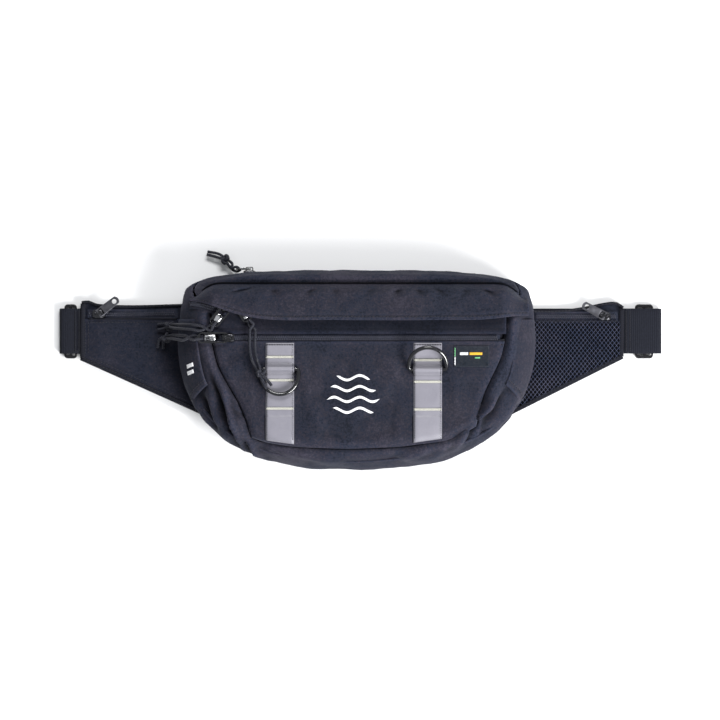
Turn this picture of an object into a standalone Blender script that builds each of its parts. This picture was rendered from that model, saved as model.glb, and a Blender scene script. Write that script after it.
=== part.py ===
"""Waist pack with a zipped main compartment, front pocket, wing pockets and a buckled belt.

The pack lies on its back: +Z is the front face's outward side, +Y is the top when worn, +X is the
wearer's left when seen from the front. Millimetre sizes are multiplied by MM, so the scene is in metres.
"""

import math

import bmesh
import bpy
from mathutils import Matrix, Vector

MM = 0.001
GAP = 0.3

# Driving dimensions, in millimetres.
BODY_X = -3.4
FRONT_Z = 50.0
PAD_TOP = 9.0
WALL = 1.6
HINGE_Y, HINGE_Z = 77.8, 20.0
MOUTH_Y = 53.0
POCKET_TOP_Y, FRONT_ZIP_Y = 19.0, 25.2
POCKET_THICK = 1.8
BELT_Y, BELT_WIDTH, WEBBING = 31.0, 38.0, 1.2
BELT_TIP_X = 252.6
STRAP_WIDTH, STRAP_THICK = 25.2, 1.4
RING_WIRE = 3.4
WING_Z = 3.2

POCKET_Z = FRONT_Z + GAP
STRAP_Z = POCKET_Z + POCKET_THICK + GAP

# (height, half width, top reach, bottom reach, top corner power) of the shell's rings, back to front.
SHELL_RINGS = [
    (PAD_TOP + GAP, 144.0, 76.6, -78.0, 5.0),
    (13.0, 146.5, 76.8, -81.0, 5.0),
    (19.0, 147.8, 77.0, -83.4, 4.6),
    (24.0, 148.0, 80.0, -84.0, 4.4),
    (32.0, 146.0, 81.6, -82.8, 3.6),
    (41.0, 140.0, 77.5, -78.0, 3.4),
    (47.0, 132.5, 69.0, -72.5, 3.4),
    (FRONT_Z, 124.0, 59.0, -66.5, 3.4),
]
WIDEST_Y = 40.0
BOTTOM_POWER = 2.6


def clear_scene():
    for obj in list(bpy.data.objects):
        bpy.data.objects.remove(obj, do_unlink=True)


def material(name, colour, roughness, metallic=0.0):
    found = bpy.data.materials.get(name)
    if found:
        return found
    made = bpy.data.materials.new(name)
    made.use_nodes = True
    shader = made.node_tree.nodes["Principled BSDF"]
    shader.inputs["Base Color"].default_value = (*colour, 1.0)
    shader.inputs["Roughness"].default_value = roughness
    shader.inputs["Metallic"].default_value = metallic
    return made


def shell_cloth():
    return material("shell_cloth", (0.022, 0.024, 0.032), 0.85)


def mesh_cloth():
    return material("mesh_cloth", (0.018, 0.019, 0.026), 0.9)


def webbing_cloth():
    return material("webbing_cloth", (0.02, 0.022, 0.03), 0.8)


def reflective_tape():
    return material("reflective_tape", (0.36, 0.35, 0.37), 0.45)


def zip_nylon():
    return material("zip_nylon", (0.015, 0.015, 0.018), 0.5)


def dark_metal():
    return material("dark_metal", (0.1, 0.1, 0.11), 0.25, 1.0)


def cord_nylon():
    return material("cord_nylon", (0.016, 0.016, 0.02), 0.7)


def acetal():
    return material("acetal", (0.018, 0.018, 0.02), 0.4)


def label_cloth():
    return material("label_cloth", (0.012, 0.016, 0.022), 0.7)


def finish(name, mesh, look, smooth_angle=None):
    """Links a mesh made in millimetres, in its own place, as a named object in metres."""
    mesh.transform(Matrix.Scale(MM, 4))
    obj = bpy.data.objects.new(name, mesh)
    bpy.context.scene.collection.objects.link(obj)
    mesh.materials.append(look)
    if smooth_angle is not None:
        mesh.shade_smooth()
        mesh.set_sharp_from_angle(angle=math.radians(smooth_angle))
    return obj


def loft_mesh(name, rings):
    """Closed mesh through rings of equal length, capped at both ends, with its faces pointing out."""
    bm = bmesh.new()
    loops = [[bm.verts.new(p) for p in ring] for ring in rings]
    count = len(loops[0])
    for low, high in zip(loops, loops[1:]):
        for i in range(count):
            j = (i + 1) % count
            bm.faces.new((low[i], low[j], high[j], high[i]))
    bm.faces.new(list(reversed(loops[0])))
    bm.faces.new(loops[-1])
    bmesh.ops.recalc_face_normals(bm, faces=bm.faces)
    mesh = bpy.data.meshes.new(name)
    bm.to_mesh(mesh)
    bm.free()
    return mesh


def loft(name, rings, look, smooth_angle=None):
    return finish(name, loft_mesh(name, rings), look, smooth_angle)


def block(name, low, high, look):
    """Axis-aligned box between two corners."""
    x0, y0, z0 = low
    x1, y1, z1 = high
    corners = [(x0, y0), (x1, y0), (x1, y1), (x0, y1)]
    return loft(name, [[(x, y, z) for x, y in corners] for z in (z0, z1)], look)


def offset_path(path, distance):
    """A 2D polyline moved sideways, mitred at its corners."""
    points = [Vector(p) for p in path]
    moved = []
    for i, point in enumerate(points):
        before = (point - points[i - 1]).normalized() if i else None
        after = (points[i + 1] - point).normalized() if i + 1 < len(points) else None
        before = before or after
        after = after or before
        normal = Vector((-(before + after).y, (before + after).x)).normalized()
        side = Vector((-after.y, after.x))
        moved.append(point + normal * (distance / max(0.4, normal.dot(side))))
    return moved


def ribbon(name, path, thickness, place, start, end, look):
    """Strip whose section follows a 2D path; place(u, v, w) puts section u, v and width w in 3D."""
    outline = offset_path(path, thickness / 2) + offset_path(path, -thickness / 2)[::-1]
    rings = [[place(p.x, p.y, w) for p in outline] for w in (start, end)]
    return loft(name, rings, look)


def side_section(u, v, w):
    """A section in the XZ plane, extruded along Y."""
    return (u, w, v)


def end_section(u, v, w):
    """A section in the YZ plane, extruded along X."""
    return (w, u, v)


def arc(centre, radius, start_deg, end_deg, steps):
    return [
        (
            centre[0] + radius * math.cos(math.radians(start_deg + (end_deg - start_deg) * i / steps)),
            centre[1] + radius * math.sin(math.radians(start_deg + (end_deg - start_deg) * i / steps)),
        )
        for i in range(steps + 1)
    ]


def plate(name, loops, thickness, place, look):
    """Flat plate from 2D loops, the first its outline and the rest holes, laid at a matrix."""
    curve = bpy.data.curves.new(name, "CURVE")
    curve.dimensions = "2D"
    curve.fill_mode = "BOTH"
    curve.extrude = thickness / 2 * MM
    for loop in loops:
        spline = curve.splines.new("POLY")
        spline.points.add(len(loop) - 1)
        for point, (x, y) in zip(spline.points, loop):
            point.co = (x * MM, y * MM, 0, 1)
        spline.use_cyclic_u = True
    obj = bpy.data.objects.new(name, curve)
    bpy.context.scene.collection.objects.link(obj)
    curve.materials.append(look)
    obj.matrix_world = place
    return obj


def rounded_rectangle(x0, y0, x1, y1, radius, steps=4):
    radius = min(radius, 0.45 * (x1 - x0), 0.45 * (y1 - y0))
    corners = [((x1 - radius, y1 - radius), 0), ((x0 + radius, y1 - radius), 90)]
    corners += [((x0 + radius, y0 + radius), 180), ((x1 - radius, y0 + radius), 270)]
    return [p for centre, turn in corners for p in arc(centre, radius, turn, turn + 90, steps)]


def tube(name, points, radius, look, closed=False, resolution=2):
    """Round bar along points in millimetres, as a bevelled poly curve."""
    curve = bpy.data.curves.new(name, "CURVE")
    curve.dimensions = "3D"
    curve.bevel_depth = radius * MM
    curve.bevel_resolution = resolution
    curve.use_fill_caps = not closed
    spline = curve.splines.new("POLY")
    spline.points.add(len(points) - 1)
    for point, p in zip(spline.points, points):
        point.co = (p[0] * MM, p[1] * MM, p[2] * MM, 1)
    spline.use_cyclic_u = closed
    obj = bpy.data.objects.new(name, curve)
    bpy.context.scene.collection.objects.link(obj)
    curve.materials.append(look)
    return obj


def smooth_route(points, step):
    """Points about one step apart on a smooth curve through a hand-chosen route."""
    route = [Vector(p) for p in points]
    route = [route[0] * 2 - route[1], *route, route[-1] * 2 - route[-2]]
    dense = []
    for a, b, c, d in zip(route, route[1:], route[2:], route[3:]):
        for i in range(12):
            t = i / 12
            dense.append(
                0.5 * (2 * b + (c - a) * t + (2 * a - 5 * b + 4 * c - d) * t * t
                       + (3 * b - a - 3 * c + d) * t**3)
            )
    dense.append(route[-2])
    kept = [dense[0]]
    for point in dense[1:-1]:
        if (point - kept[-1]).length >= step:
            kept.append(point)
    if (dense[-1] - kept[-1]).length < step / 2:
        kept.pop()
    kept.append(dense[-1])
    return kept


def cutter(obj):
    obj.hide_render = True
    obj.display_type = "WIRE"
    return obj


def boolean(obj, other, operation="DIFFERENCE"):
    made = obj.modifiers.new(f"{operation.lower()} {other.name}", "BOOLEAN")
    made.object = other
    made.operation = operation
    made.solver = "EXACT"


def body_ring(height, half_width, top, bottom, power, inset=0.0, count=56):
    """One ring of the pack's outline: square shoulders above, a wide arc below."""
    ring = []
    for i in range(count):
        turn = 2 * math.pi * (i + 0.5) / count
        c, s = math.cos(turn), math.sin(turn)
        n = power if s > 0 else BOTTOM_POWER
        reach = (top if s > 0 else -bottom) - inset + (-WIDEST_Y if s > 0 else WIDEST_Y)
        x = (half_width - inset) * math.copysign(abs(c) ** (2 / n), c)
        y = WIDEST_Y + reach * math.copysign(abs(s) ** (2 / n), s)
        ring.append((BODY_X + x, y, height))
    return ring


def mouth_box(name, lift):
    """Cutter above the slanted plane where the lid parts from the tub, lifted along its normal."""
    along = Vector((0, MOUTH_Y - HINGE_Y, FRONT_Z - HINGE_Z)).normalized()
    normal = Vector((0, along.z, -along.y))
    start = Vector((0, HINGE_Y, HINGE_Z)) + normal * lift
    corners = [(-200, -90), (200, -90), (200, 130), (-200, 130)]
    rings = [
        [start + Vector((x, 0, 0)) + along * a + normal * n for x, a in corners]
        for n in (0, 120)
    ]
    return cutter(loft(name, rings, shell_cloth()))


def build_shell():
    """The tub that carries the load and the lid that closes its mouth, cut from one puffed shape."""
    cavity_rings = [
        body_ring(max(h, SHELL_RINGS[0][0] + WALL) if h < 15 else min(h, FRONT_Z - WALL), a, t, b, p, WALL)
        for h, a, t, b, p in SHELL_RINGS
    ]
    cavity = cutter(loft("cavity_cutter", cavity_rings, shell_cloth()))
    tub = loft("bag_shell", [body_ring(*r) for r in SHELL_RINGS], shell_cloth(), 40)
    boolean(tub, cavity)
    boolean(tub, mouth_box("mouth_cutter", -GAP / 2))
    lid = loft("top_lid", [body_ring(*r) for r in SHELL_RINGS], shell_cloth(), 40)
    boolean(lid, cavity)
    boolean(lid, mouth_box("lid_cutter", GAP / 2), "INTERSECT")
    return tub, lid


def build_back_pad():
    """Foam back pad with a channel for the belt and a window for the buckle halves."""
    rings = [
        body_ring(0.0, 138.0, 73.0, -73.0, 5.0),
        body_ring(2.5, 142.0, 75.5, -76.0, 5.0),
        body_ring(PAD_TOP, 142.5, 75.8, -76.5, 5.0),
    ]
    pad = loft("back_pad", rings, mesh_cloth(), 40)
    low, high = BELT_Y - BELT_WIDTH / 2 - 2, BELT_Y + BELT_WIDTH / 2 + 2
    boolean(pad, cutter(block("belt_channel", (-160, low, -1), (160, high, WING_Z), mesh_cloth())))
    window = block("buckle_window", (-70, low - 4, -1), (70, high + 4, PAD_TOP + 1), mesh_cloth())
    boolean(pad, cutter(window))
    return pad


FLAP_MIDDLE = -1.5


def flap_edge(x):
    """How low the storm flap's free edge hangs, in Y, at each X."""
    left, right = x + 143.0, 140.0 - x
    return 40.6 + 16.0 * math.exp(-((left / 38.0) ** 2)) + 4.0 * math.exp(-((right / 30.0) ** 2))


def flap_drop(x):
    """How far the flap's two ends fall over the pack's shoulders."""
    t = min(1.0, max(0.0, (abs(x - FLAP_MIDDLE) - 119.0) / 22.0))
    return 13.0 * t * t * (3 - 2 * t)


def build_flap():
    """Storm flap sewn to the lid above the main zip, standing clear of the sliders."""
    rings = []
    for i in range(25):
        x = -143.0 + 283.0 * i / 24
        edge = flap_edge(x)
        path = [(69.4, 48.3), (66.6, 50.8), (63.6, 55.2), (60.4, 58.0)]
        path += [(60.4 + (edge - 60.4) * k / 4, 58.0 + 1.6 * math.sin(k / 4 * 2.2)) for k in range(1, 5)]
        outline = offset_path(path, 0.7) + offset_path(path, -0.7)[::-1]
        rings.append([(x, p.x, p.y - flap_drop(x)) for p in outline])
    return loft("storm_flap", rings, shell_cloth(), 50)


def build_front_pocket():
    """Flat outer panel of the front pocket, lying on the tub's front face."""
    outline = [(x, y) for x, y, _ in body_ring(0, 122.0, 60.0, -64.5, 3.4)]
    kept = [(x, y) for x, y in outline if y < POCKET_TOP_Y - 1]
    left = min(kept)
    right = max(kept)
    order = sorted(kept, key=lambda p: math.atan2(p[1] - WIDEST_Y, p[0] - BODY_X))
    loop = [(left[0], POCKET_TOP_Y), *order, (right[0], POCKET_TOP_Y)]
    place = Matrix.Translation((0, 0, (POCKET_Z + POCKET_THICK / 2) * MM))
    return plate("front_pocket_panel", [loop], POCKET_THICK, place, shell_cloth())


def strip(name, x0, x1, y0, y1, z0, thickness, look):
    return block(name, (x0, y0, z0), (x1, y1, z0 + thickness), look)


def coil(name, start, end, up, look):
    """Closed zip coil, a low six-sided bar along a straight line."""
    a, b = Vector(start), Vector(end)
    along = (b - a).normalized()
    side = up.cross(along)
    section = [(-1.3, 0), (-1.3, 0.7), (-0.7, 1.5), (0.7, 1.5), (1.3, 0.7), (1.3, 0)]
    rings = [[p + side * s + up * h for s, h in section] for p in (a, b)]
    return loft(name, rings, look)


def slider_mesh(name, half_length=5.0):
    """Zip slider in its own frame: X along the zip, Z out of the tape, origin on the tape under it."""
    width, nose = 3.6, 2.6
    outline = [(-half_length, -nose), (-half_length + 2, -width), (half_length - 2, -width)]
    outline += [(half_length, -nose), (half_length, nose), (half_length - 2, width)]
    outline += [(-half_length + 2, width), (-half_length, nose)]
    steps = ((GAP, 1.0), (2.6, 1.0), (3.5, 0.72))
    return loft_mesh(name, [[(x * k, y * k, z) for x, y in outline] for z, k in steps])


def put(mesh, frame):
    """Moves a mesh made at the origin to a frame given in millimetres."""
    mesh.transform(frame)
    return mesh


def slider(name, frame):
    """Slider body with a channel over the coil and a bail on top that the pull hangs on."""
    body = finish(name, put(slider_mesh(name), frame), dark_metal())
    channel = [(-9, -1.6), (9, -1.6), (9, 1.6), (-9, 1.6)]
    tunnel = [[(x, y, z) for x, y in channel] for z in (-1.0, 2.2)]
    boolean(body, cutter(finish(f"{name}_tunnel", put(loft_mesh("tunnel", tunnel), frame), dark_metal())))
    arch = [(-2.8, 3.1), (-2.8, 5.3), (-2.2, 6.1), (2.2, 6.1), (2.8, 5.3), (2.8, 3.1)]
    bail = offset_path(arch, 0.4) + offset_path(arch, -0.4)[::-1]
    rings = [[(p.x, w, p.y) for p in bail] for w in (-0.6, 0.6)]
    boolean(body, cutter(finish(f"{name}_bail", put(loft_mesh("bail", rings), frame), dark_metal())), "UNION")
    return body


def pull_frame(frame, heading, tilt):
    """Where a pull's own frame sits: X along the pull away from the bail, Y along its hinge pin."""
    turn = Matrix.Rotation(math.radians(heading), 4, "Z") @ Matrix.Rotation(math.radians(tilt), 4, "Y")
    lifted = frame @ Matrix.Translation((0, 0, PIN_HEIGHT)) @ turn
    return Matrix.Translation(lifted.translation * MM) @ lifted.to_3x3().to_4x4()


PIN_HEIGHT = 4.6


def loop_pull(name, frame, heading, tilt, length, half_width=4.6):
    """Elongated metal pull: an opening round the bail, a solid bridge, then an eye for the cord."""
    rail = 1.3
    bridge_start, bridge_end = length * 0.42, length * 0.78
    outer = rounded_rectangle(-0.55, -half_width, length, half_width, half_width * 0.8, 5)
    near = rounded_rectangle(0.55, rail - half_width, bridge_start, half_width - rail, 1.2, 3)
    eye = rounded_rectangle(bridge_end, rail - half_width, length - rail, half_width - rail, 1.4, 3)
    return plate(name, [outer, near, eye], 1.3, pull_frame(frame, heading, tilt), dark_metal())


def tab_pull(name, frame, heading, tilt, length):
    """Flat tapered pull tab with a round hole at its free end."""
    half = 3.9
    outer = [(-0.55, -half), (length - 4.2, -3.4)] + arc((length - 4.2, 0), 4.2, -54, 54, 8)
    outer += [(length - 4.2, 3.4), (-0.55, half)]
    near = rounded_rectangle(0.55, 1.1 - half, 4.6, half - 1.1, 0.8, 2)
    hole = arc((length - 4.2, 0), 2.0, 0, 330, 11)
    return plate(name, [outer, near, hole], 1.3, pull_frame(frame, heading, tilt), dark_metal())


def build_front_zip():
    look = zip_nylon()
    strip("front_zip_tape", -118, 116, POCKET_TOP_Y + GAP, 32.5, POCKET_Z, 0.8, look)
    coil("front_zip_coil", (-117, FRONT_ZIP_Y, ZIP_TOP), (114, FRONT_ZIP_Y, ZIP_TOP), Vector((0, 0, 1)), look)


ZIP_TOP = POCKET_Z + 0.8 + GAP


def build_main_zip():
    look = zip_nylon()
    strip("main_zip_tape", -120, 114, 44.0, MOUTH_Y - 0.5, POCKET_Z, 0.8, look)
    coil("main_zip_coil", (-119, 50.2, ZIP_TOP), (113, 50.2, ZIP_TOP), Vector((0, 0, 1)), look)


def build_rear_zip():
    """Zip of the pocket behind the back, on the tub's top wall below the lid's hinge."""
    look = zip_nylon()
    block("rear_zip_tape", (-105, REAR_TAPE_Y, 10.2), (98, REAR_TAPE_Y + 0.7, 18.6), look)
    start = (-104, REAR_TAPE_Y + 1.0, 14.4)
    coil("rear_zip_coil", start, (97, start[1], start[2]), Vector((0, 1, 0)), look)


REAR_TAPE_Y = 77.3

LEFT_WING = [(-234.0, 54.8), (-228.0, 55.4), (-219.0, 52.4), (-190.0, 51.4), (-146.6, 52.6)]
LEFT_WING += [(-146.4, 25.0), (-143.6, 2.0), (-138.4, -16.0), (-129.4, -34.0), (-132.6, -38.4), (-234.6, 7.4)]
RIGHT_WING = [(139.8, 47.6), (166.0, 47.6), (185.0, 49.6), (204.0, 53.4), (214.0, 54.2), (220.4, 50.4)]
RIGHT_WING += [(219.8, 8.6), (126.0, -38.4), (122.6, -34.0), (131.6, -16.0), (136.8, 2.0), (139.6, 25.0)]


def below_zip(outline, height):
    """A wing's outline with everything above a level line cut away."""
    kept = []
    for (x0, y0), (x1, y1) in zip(outline, outline[1:] + outline[:1]):
        if y0 <= height:
            kept.append((x0, y0))
        if (y0 - height) * (y1 - height) < 0:
            t = (height - y0) / (y1 - y0)
            kept.append((x0 + (x1 - x0) * t, height))
    return kept


def wing_plate(name, outline, z0, thickness, look):
    place = Matrix.Translation((0, 0, (z0 + thickness / 2) * MM))
    return plate(name, [outline], thickness, place, look)


def build_wings():
    zip_edge = {"left": 41.6, "right": 39.6}
    looks = {"left": shell_cloth(), "right": mesh_cloth()}
    spans = {"left": (-229.0, -153.0), "right": (147.0, 216.0)}
    for side, outline in (("left", LEFT_WING), ("right", RIGHT_WING)):
        wing_plate(f"wing_{side}_back", outline, WING_Z, 1.6, shell_cloth())
        front = below_zip(outline, zip_edge[side])
        wing_plate(f"wing_{side}_front", front, WING_Z + 1.9, 1.4, looks[side])
        x0, x1 = spans[side]
        low = zip_edge[side] + GAP
        strip(f"wing_{side}_zip_tape", x0, x1, low, low + 7.4, WING_Z + 1.9, 0.8, zip_nylon())
        start = (x0 + 1, low + 3.6, WING_ZIP_Z)
        coil(f"wing_{side}_zip_coil", start, (x1 - 1, start[1], start[2]), Vector((0, 0, 1)), zip_nylon())


WING_ZIP_Z = WING_Z + 1.9 + 0.8 + GAP


def build_strap(side, x, y0, y1, ring_y):
    """Reflective webbing on the front panel with one raised cell that the D-ring's bar lies in."""
    mid = STRAP_Z + STRAP_THICK / 2
    centre = (ring_y, RING_Z)
    radius = RING_WIRE / 2 + 0.35 + STRAP_THICK / 2
    foot = radius + 1.5
    path = [(y0, mid), (ring_y - foot - 4, mid), (ring_y - foot, mid + 0.2), (ring_y - radius - 0.2, RING_Z - 0.4)]
    path += arc(centre, radius, 170, 10, 8)
    path += [(ring_y + radius + 0.2, RING_Z - 0.4), (ring_y + foot, mid + 0.2), (ring_y + foot + 4, mid), (y1, mid)]
    half = STRAP_WIDTH / 2
    return ribbon(f"strap_{side}", path, STRAP_THICK, end_section, x - half, x + half, reflective_tape())


RING_Z = STRAP_Z + 0.3 + RING_WIRE / 2


def build_ring(side, x, y, down, tilt):
    """D-ring: a straight bar in the strap's cell and a bow that lies down or up the strap."""
    half, depth = 15.6, 21.5
    sign = -1 if down else 1
    flat = [(-half, 0.0), (-half + 5, 0.0), (0.0, 0.0), (half - 5, 0.0), (half, 0.0)]
    bow = [(half * math.cos(t), 5.0 + (depth - 5.0) * math.sin(t)) for t in (math.pi * k / 14 for k in range(15))]
    local = [(px, py) for px, py in flat] + bow
    rise = math.sin(math.radians(tilt))
    run = math.cos(math.radians(tilt))
    points = [(x + px, y + sign * py * run, RING_Z + py * rise) for px, py in local]
    return tube(f"d_ring_{side}", points, RING_WIRE / 2, dark_metal(), closed=True)


def build_label():
    low = POCKET_Z + POCKET_THICK + GAP
    return strip("woven_label", 77.6, 107.0, 0.8, 18.6, low, 0.6, label_cloth())


def shell_half_width(y, height):
    """Half the shell's width where a level plane at this height meets this Y, below the widest line."""
    for low, high in zip(SHELL_RINGS, SHELL_RINGS[1:]):
        if low[0] <= height <= high[0]:
            t = (height - low[0]) / (high[0] - low[0])
            widths = [
                ring[1] * (1 - ((WIDEST_Y - y) / (WIDEST_Y - ring[3])) ** BOTTOM_POWER) ** (1 / BOTTOM_POWER)
                for ring in (low, high)
            ]
            return widths[0] * (1 - t) + widths[1] * t


def build_side_tabs():
    """Sloping compression tab on each side, its edge running down from the front pocket's corner."""
    for side, sign in (("left", -1), ("right", 1)):
        rings = []
        for y in (26.0, 14.0, 2.0, -10.0, -21.0, -30.0):
            section = [(shell_half_width(y, height), height) for height in (24.0, 32.0, 41.0, 46.6)]
            outline = offset_path(section, -1.7) + offset_path(section, -0.6)[::-1]
            rings.append([(BODY_X + sign * p.x, y, p.y) for p in outline])
        loft(f"side_tab_{side}", rings, shell_cloth(), 40)


def build_belt_side(side, sign, wing_end, frame_low, frame_high):
    """Webbing from the wing's tip, round the end fold and back under the wing, through a tri-glide."""
    look = webbing_cloth()
    y0, y1 = BELT_Y - BELT_WIDTH / 2, BELT_Y + BELT_WIDTH / 2
    upper, lower = 6.5, WEBBING / 2
    radius = (upper - lower) / 2
    fold = BELT_TIP_X - WEBBING / 2 - radius
    centre = (fold, (upper + lower) / 2)
    run = [(wing_end + GAP, WING_Z + 2.6), (wing_end + 2.2, WING_Z + 2.6), (frame_low + 1.2, upper)]
    quarter = run + arc(centre, radius, 90, 4, 5)
    ribbon(f"webbing_{side}_end", [(sign * u, v) for u, v in quarter], WEBBING, side_section, y0, y1, look)
    middle = (frame_low + frame_high) / 2
    over = FRAME_Z + FRAME_THICK + GAP + WEBBING / 2
    back = arc(centre, radius, -4, -90, 5)
    back += [(frame_high - 1.0, lower), (middle + 3.0, lower + 0.1), (middle + 2.2, over - 0.5), (middle + 1.5, over)]
    back += [(middle - 1.5, over), (middle - 2.2, over - 0.5), (middle - 3.0, lower + 0.1), (frame_low + 0.6, lower)]
    return [(sign * u, v) for u, v in back]


FRAME_Z, FRAME_THICK = 1.5, 2.2


def build_triglide(side, low, high):
    """Flat slide with a bar across its middle, threaded on the returning webbing."""
    ends = (BELT_Y - 23.0, BELT_Y + 22.4)
    middle = (low + high) / 2
    outer = rounded_rectangle(low, ends[0], high, ends[1], 2.8)
    slots = [
        rounded_rectangle(low + 1.6, ends[0] + 2.6, middle - 0.9, ends[1] - 2.6, 0.8, 2),
        rounded_rectangle(middle + 0.9, ends[0] + 2.6, high - 1.6, ends[1] - 2.6, 0.8, 2),
    ]
    place = Matrix.Translation((0, 0, (FRAME_Z + FRAME_THICK / 2) * MM))
    return plate(f"triglide_{side}", [outer, *slots], FRAME_THICK, place, acetal())


BUCKLE_Z0, BUCKLE_Z1 = 0.2, 8.6
MALE_BAR_X, FEMALE_BAR_X = -40.6, 39.4
BAR_Z = 4.4


def build_belts():
    look = webbing_cloth()
    y0, y1 = BELT_Y - BELT_WIDTH / 2, BELT_Y + BELT_WIDTH / 2
    left = build_belt_side("left", -1, 234.8, 238.0, 248.6)
    left += [(-60.0, WEBBING / 2)]
    ribbon("belt_left", left, WEBBING, side_section, y0, y1, look)
    build_triglide("left", -248.6, -238.0)
    right = build_belt_side("right", 1, 220.8, 230.4, 245.6)
    right += [(FEMALE_BAR_X + 16, WEBBING / 2), (FEMALE_BAR_X + 7, BAR_Z - 2.4), (FEMALE_BAR_X + 1.0, BAR_Z - 2.35)]
    right += arc((FEMALE_BAR_X, BAR_Z), 2.3, -100, -270, 7)
    right += [(FEMALE_BAR_X + 6, BAR_Z + 2.2), (FEMALE_BAR_X + 14, 2.9), (FEMALE_BAR_X + 20, 2.1), (90.0, 2.1)]
    ribbon("belt_right", right, WEBBING, side_section, y0, y1, look)
    build_triglide("right", 230.4, 245.6)
    tail = [(-110.0, 2.1), (MALE_BAR_X - 16, 2.1), (MALE_BAR_X - 7, BAR_Z - 2.4), (MALE_BAR_X - 1.0, BAR_Z - 2.35)]
    tail += arc((MALE_BAR_X, BAR_Z), 2.3, -80, 90, 7)
    tail += [(MALE_BAR_X - 6, BAR_Z + 2.2), (MALE_BAR_X - 13, 4.4), (MALE_BAR_X - 24, 4.0)]
    ribbon("belt_left_adjuster", tail, WEBBING, side_section, y0, y1, look)


def build_buckle():
    """Side-release buckle, unclipped: housing on the right belt, stem and two spring arms on the left."""
    look = acetal()
    half = 23.0
    outline = rounded_rectangle(6.0, BELT_Y - half, 43.0, BELT_Y + half, 3.0)
    housing = loft("buckle_housing", [[(x, y, z) for x, y in outline] for z in (BUCKLE_Z0, BUCKLE_Z1)], look)
    slot = block("slot_cutter", (33.0, BELT_Y - 20, -1), (FEMALE_BAR_X - 1.0, BELT_Y + 20, 10), look)
    boolean(housing, cutter(slot))
    inside = block("socket_cutter", (5, BELT_Y - 19.4, 1.6), (31, BELT_Y + 19.4, 7.2), look)
    boolean(housing, cutter(inside))
    window = block("window_cutter", (16, BELT_Y - 30, 2.2), (27.6, BELT_Y + 30, 6.6), look)
    boolean(housing, cutter(window))
    relief = block("bar_relief", (FEMALE_BAR_X + 1.0, BELT_Y - 20, -1), (45, BELT_Y + 20, 10), look)
    boolean(housing, cutter(relief))
    thin = block("bar_top", (31.8, BELT_Y - 20, BAR_Z + 1.1), (45, BELT_Y + 20, 10), look)
    boolean(housing, cutter(thin))
    under = block("bar_under", (31.8, BELT_Y - 20, -1), (45, BELT_Y + 20, BAR_Z - 1.1), look)
    boolean(housing, cutter(under))

    stem_base = block("buckle_stem", (-36.0, BELT_Y - half, 1.0), (-29.6, BELT_Y + half, 7.8), look)
    for k, (low, high) in enumerate(((-half, -20.2), (20.2, half))):
        rail = block(f"stem_rail_{k}", (-44.0, BELT_Y + low, 1.6), (-35.0, BELT_Y + high, 7.2), look)
        boolean(stem_base, cutter(rail), "UNION")
    bar = block("stem_bar", (MALE_BAR_X - 1.0, BELT_Y - half + 1, BAR_Z - 1.1), (MALE_BAR_X + 1.0, BELT_Y + half - 1, BAR_Z + 1.1), look)
    boolean(stem_base, cutter(bar), "UNION")
    guide = block("stem_guide", (-30.5, BELT_Y - 4, 2.6), (-8.0, BELT_Y + 4, 6.2), look)
    boolean(stem_base, cutter(guide), "UNION")

    for side, sign in (("upper", 1), ("lower", -1)):
        arm = [(-29.2, 10.0), (-22.0, 10.6), (-17.5, 13.0), (-14.0, 17.4), (-10.5, 18.6), (-6.0, 15.6)]
        arm += [(-6.0, 12.4), (-10.5, 13.4), (-14.5, 9.6), (-20.0, 7.0), (-29.2, 6.4)]
        loop = [(x, sign * y) for x, y in arm]
        rings = [[(x, BELT_Y + y, z) for x, y in loop] for z in (2.4, 6.4)]
        loft(f"buckle_arm_{side}", rings, look)


CORD_RADIUS = 2.5

# Each pull cord's route from just past its pull to its tail's end, and where along it the knot sits.
CORD_ROUTES = {
    "main_left": [(-133.0, 33.0, 54.0), (-139.5, 34.0, 52.6), (-147.4, 34.4, 46.2), (-153.4, 34.8, 36.0),
                  (-157.0, 35.2, 25.0), (-160.4, 35.2, 16.0), (-164.6, 35.0, 11.8), (-170.0, 34.4, 10.8)],
    "front": [(-146.0, 25.0, 50.4), (-151.4, 25.6, 44.0), (-155.2, 26.0, 35.4), (-158.4, 26.0, 26.4),
              (-162.6, 25.2, 17.6), (-166.8, 22.6, 12.4), (-167.6, 16.4, 10.6)],
    "main_right": [(-89.6, 32.0, 56.4), (-89.8, 25.0, 56.8), (-89.8, 17.0, 56.8), (-88.4, 8.0, 57.8),
                   (-85.6, 1.0, 60.2), (-82.4, -5.6, 61.6), (-78.4, -12.0, 62.0), (-75.6, -16.0, 61.8)],
    "rear": [(-108.8, 86.4, 6.6), (-113.4, 91.0, 6.4), (-119.8, 94.4, 5.2), (-125.6, 95.6, 4.2)],
}
KNOT_CENTRES = {
    "main_left": (-159.6, 35.2, 18.4),
    "front": (-162.6, 25.2, 17.6),
    "main_right": (-83.2, -4.0, 61.4),
    "rear": (-113.4, 91.0, 6.4),
}
KNOT_SWELL, KNOT_LENGTH = 1.5, 5.0


def build_cord(name, pull, length):
    """Doubled pull cord as one round solid that swells at its knot and runs on to its tail."""
    ends = [pull.matrix_world @ Vector((reach * MM, 0, 0)) / MM for reach in (length + 0.5, length + 3.5)]
    points = smooth_route([*ends, *CORD_ROUTES[name]], 3.6)
    cord = tube(f"cord_{name}", points, CORD_RADIUS, cord_nylon())
    middle = Vector(KNOT_CENTRES[name])
    for spot, point in zip(cord.data.splines[0].points, points):
        spot.radius = 1 + (KNOT_SWELL - 1) * math.exp(-((point - middle).length / KNOT_LENGTH) ** 2)


def flat_frame(x, y, z):
    return Matrix.Translation((x, y, z))


def wall_frame(x, y, z):
    """A frame on the top wall: X along the zip, Z out of the wall along +Y."""
    return Matrix.Translation((x, y, z)) @ Matrix.Rotation(math.radians(-90), 4, "X")


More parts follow.
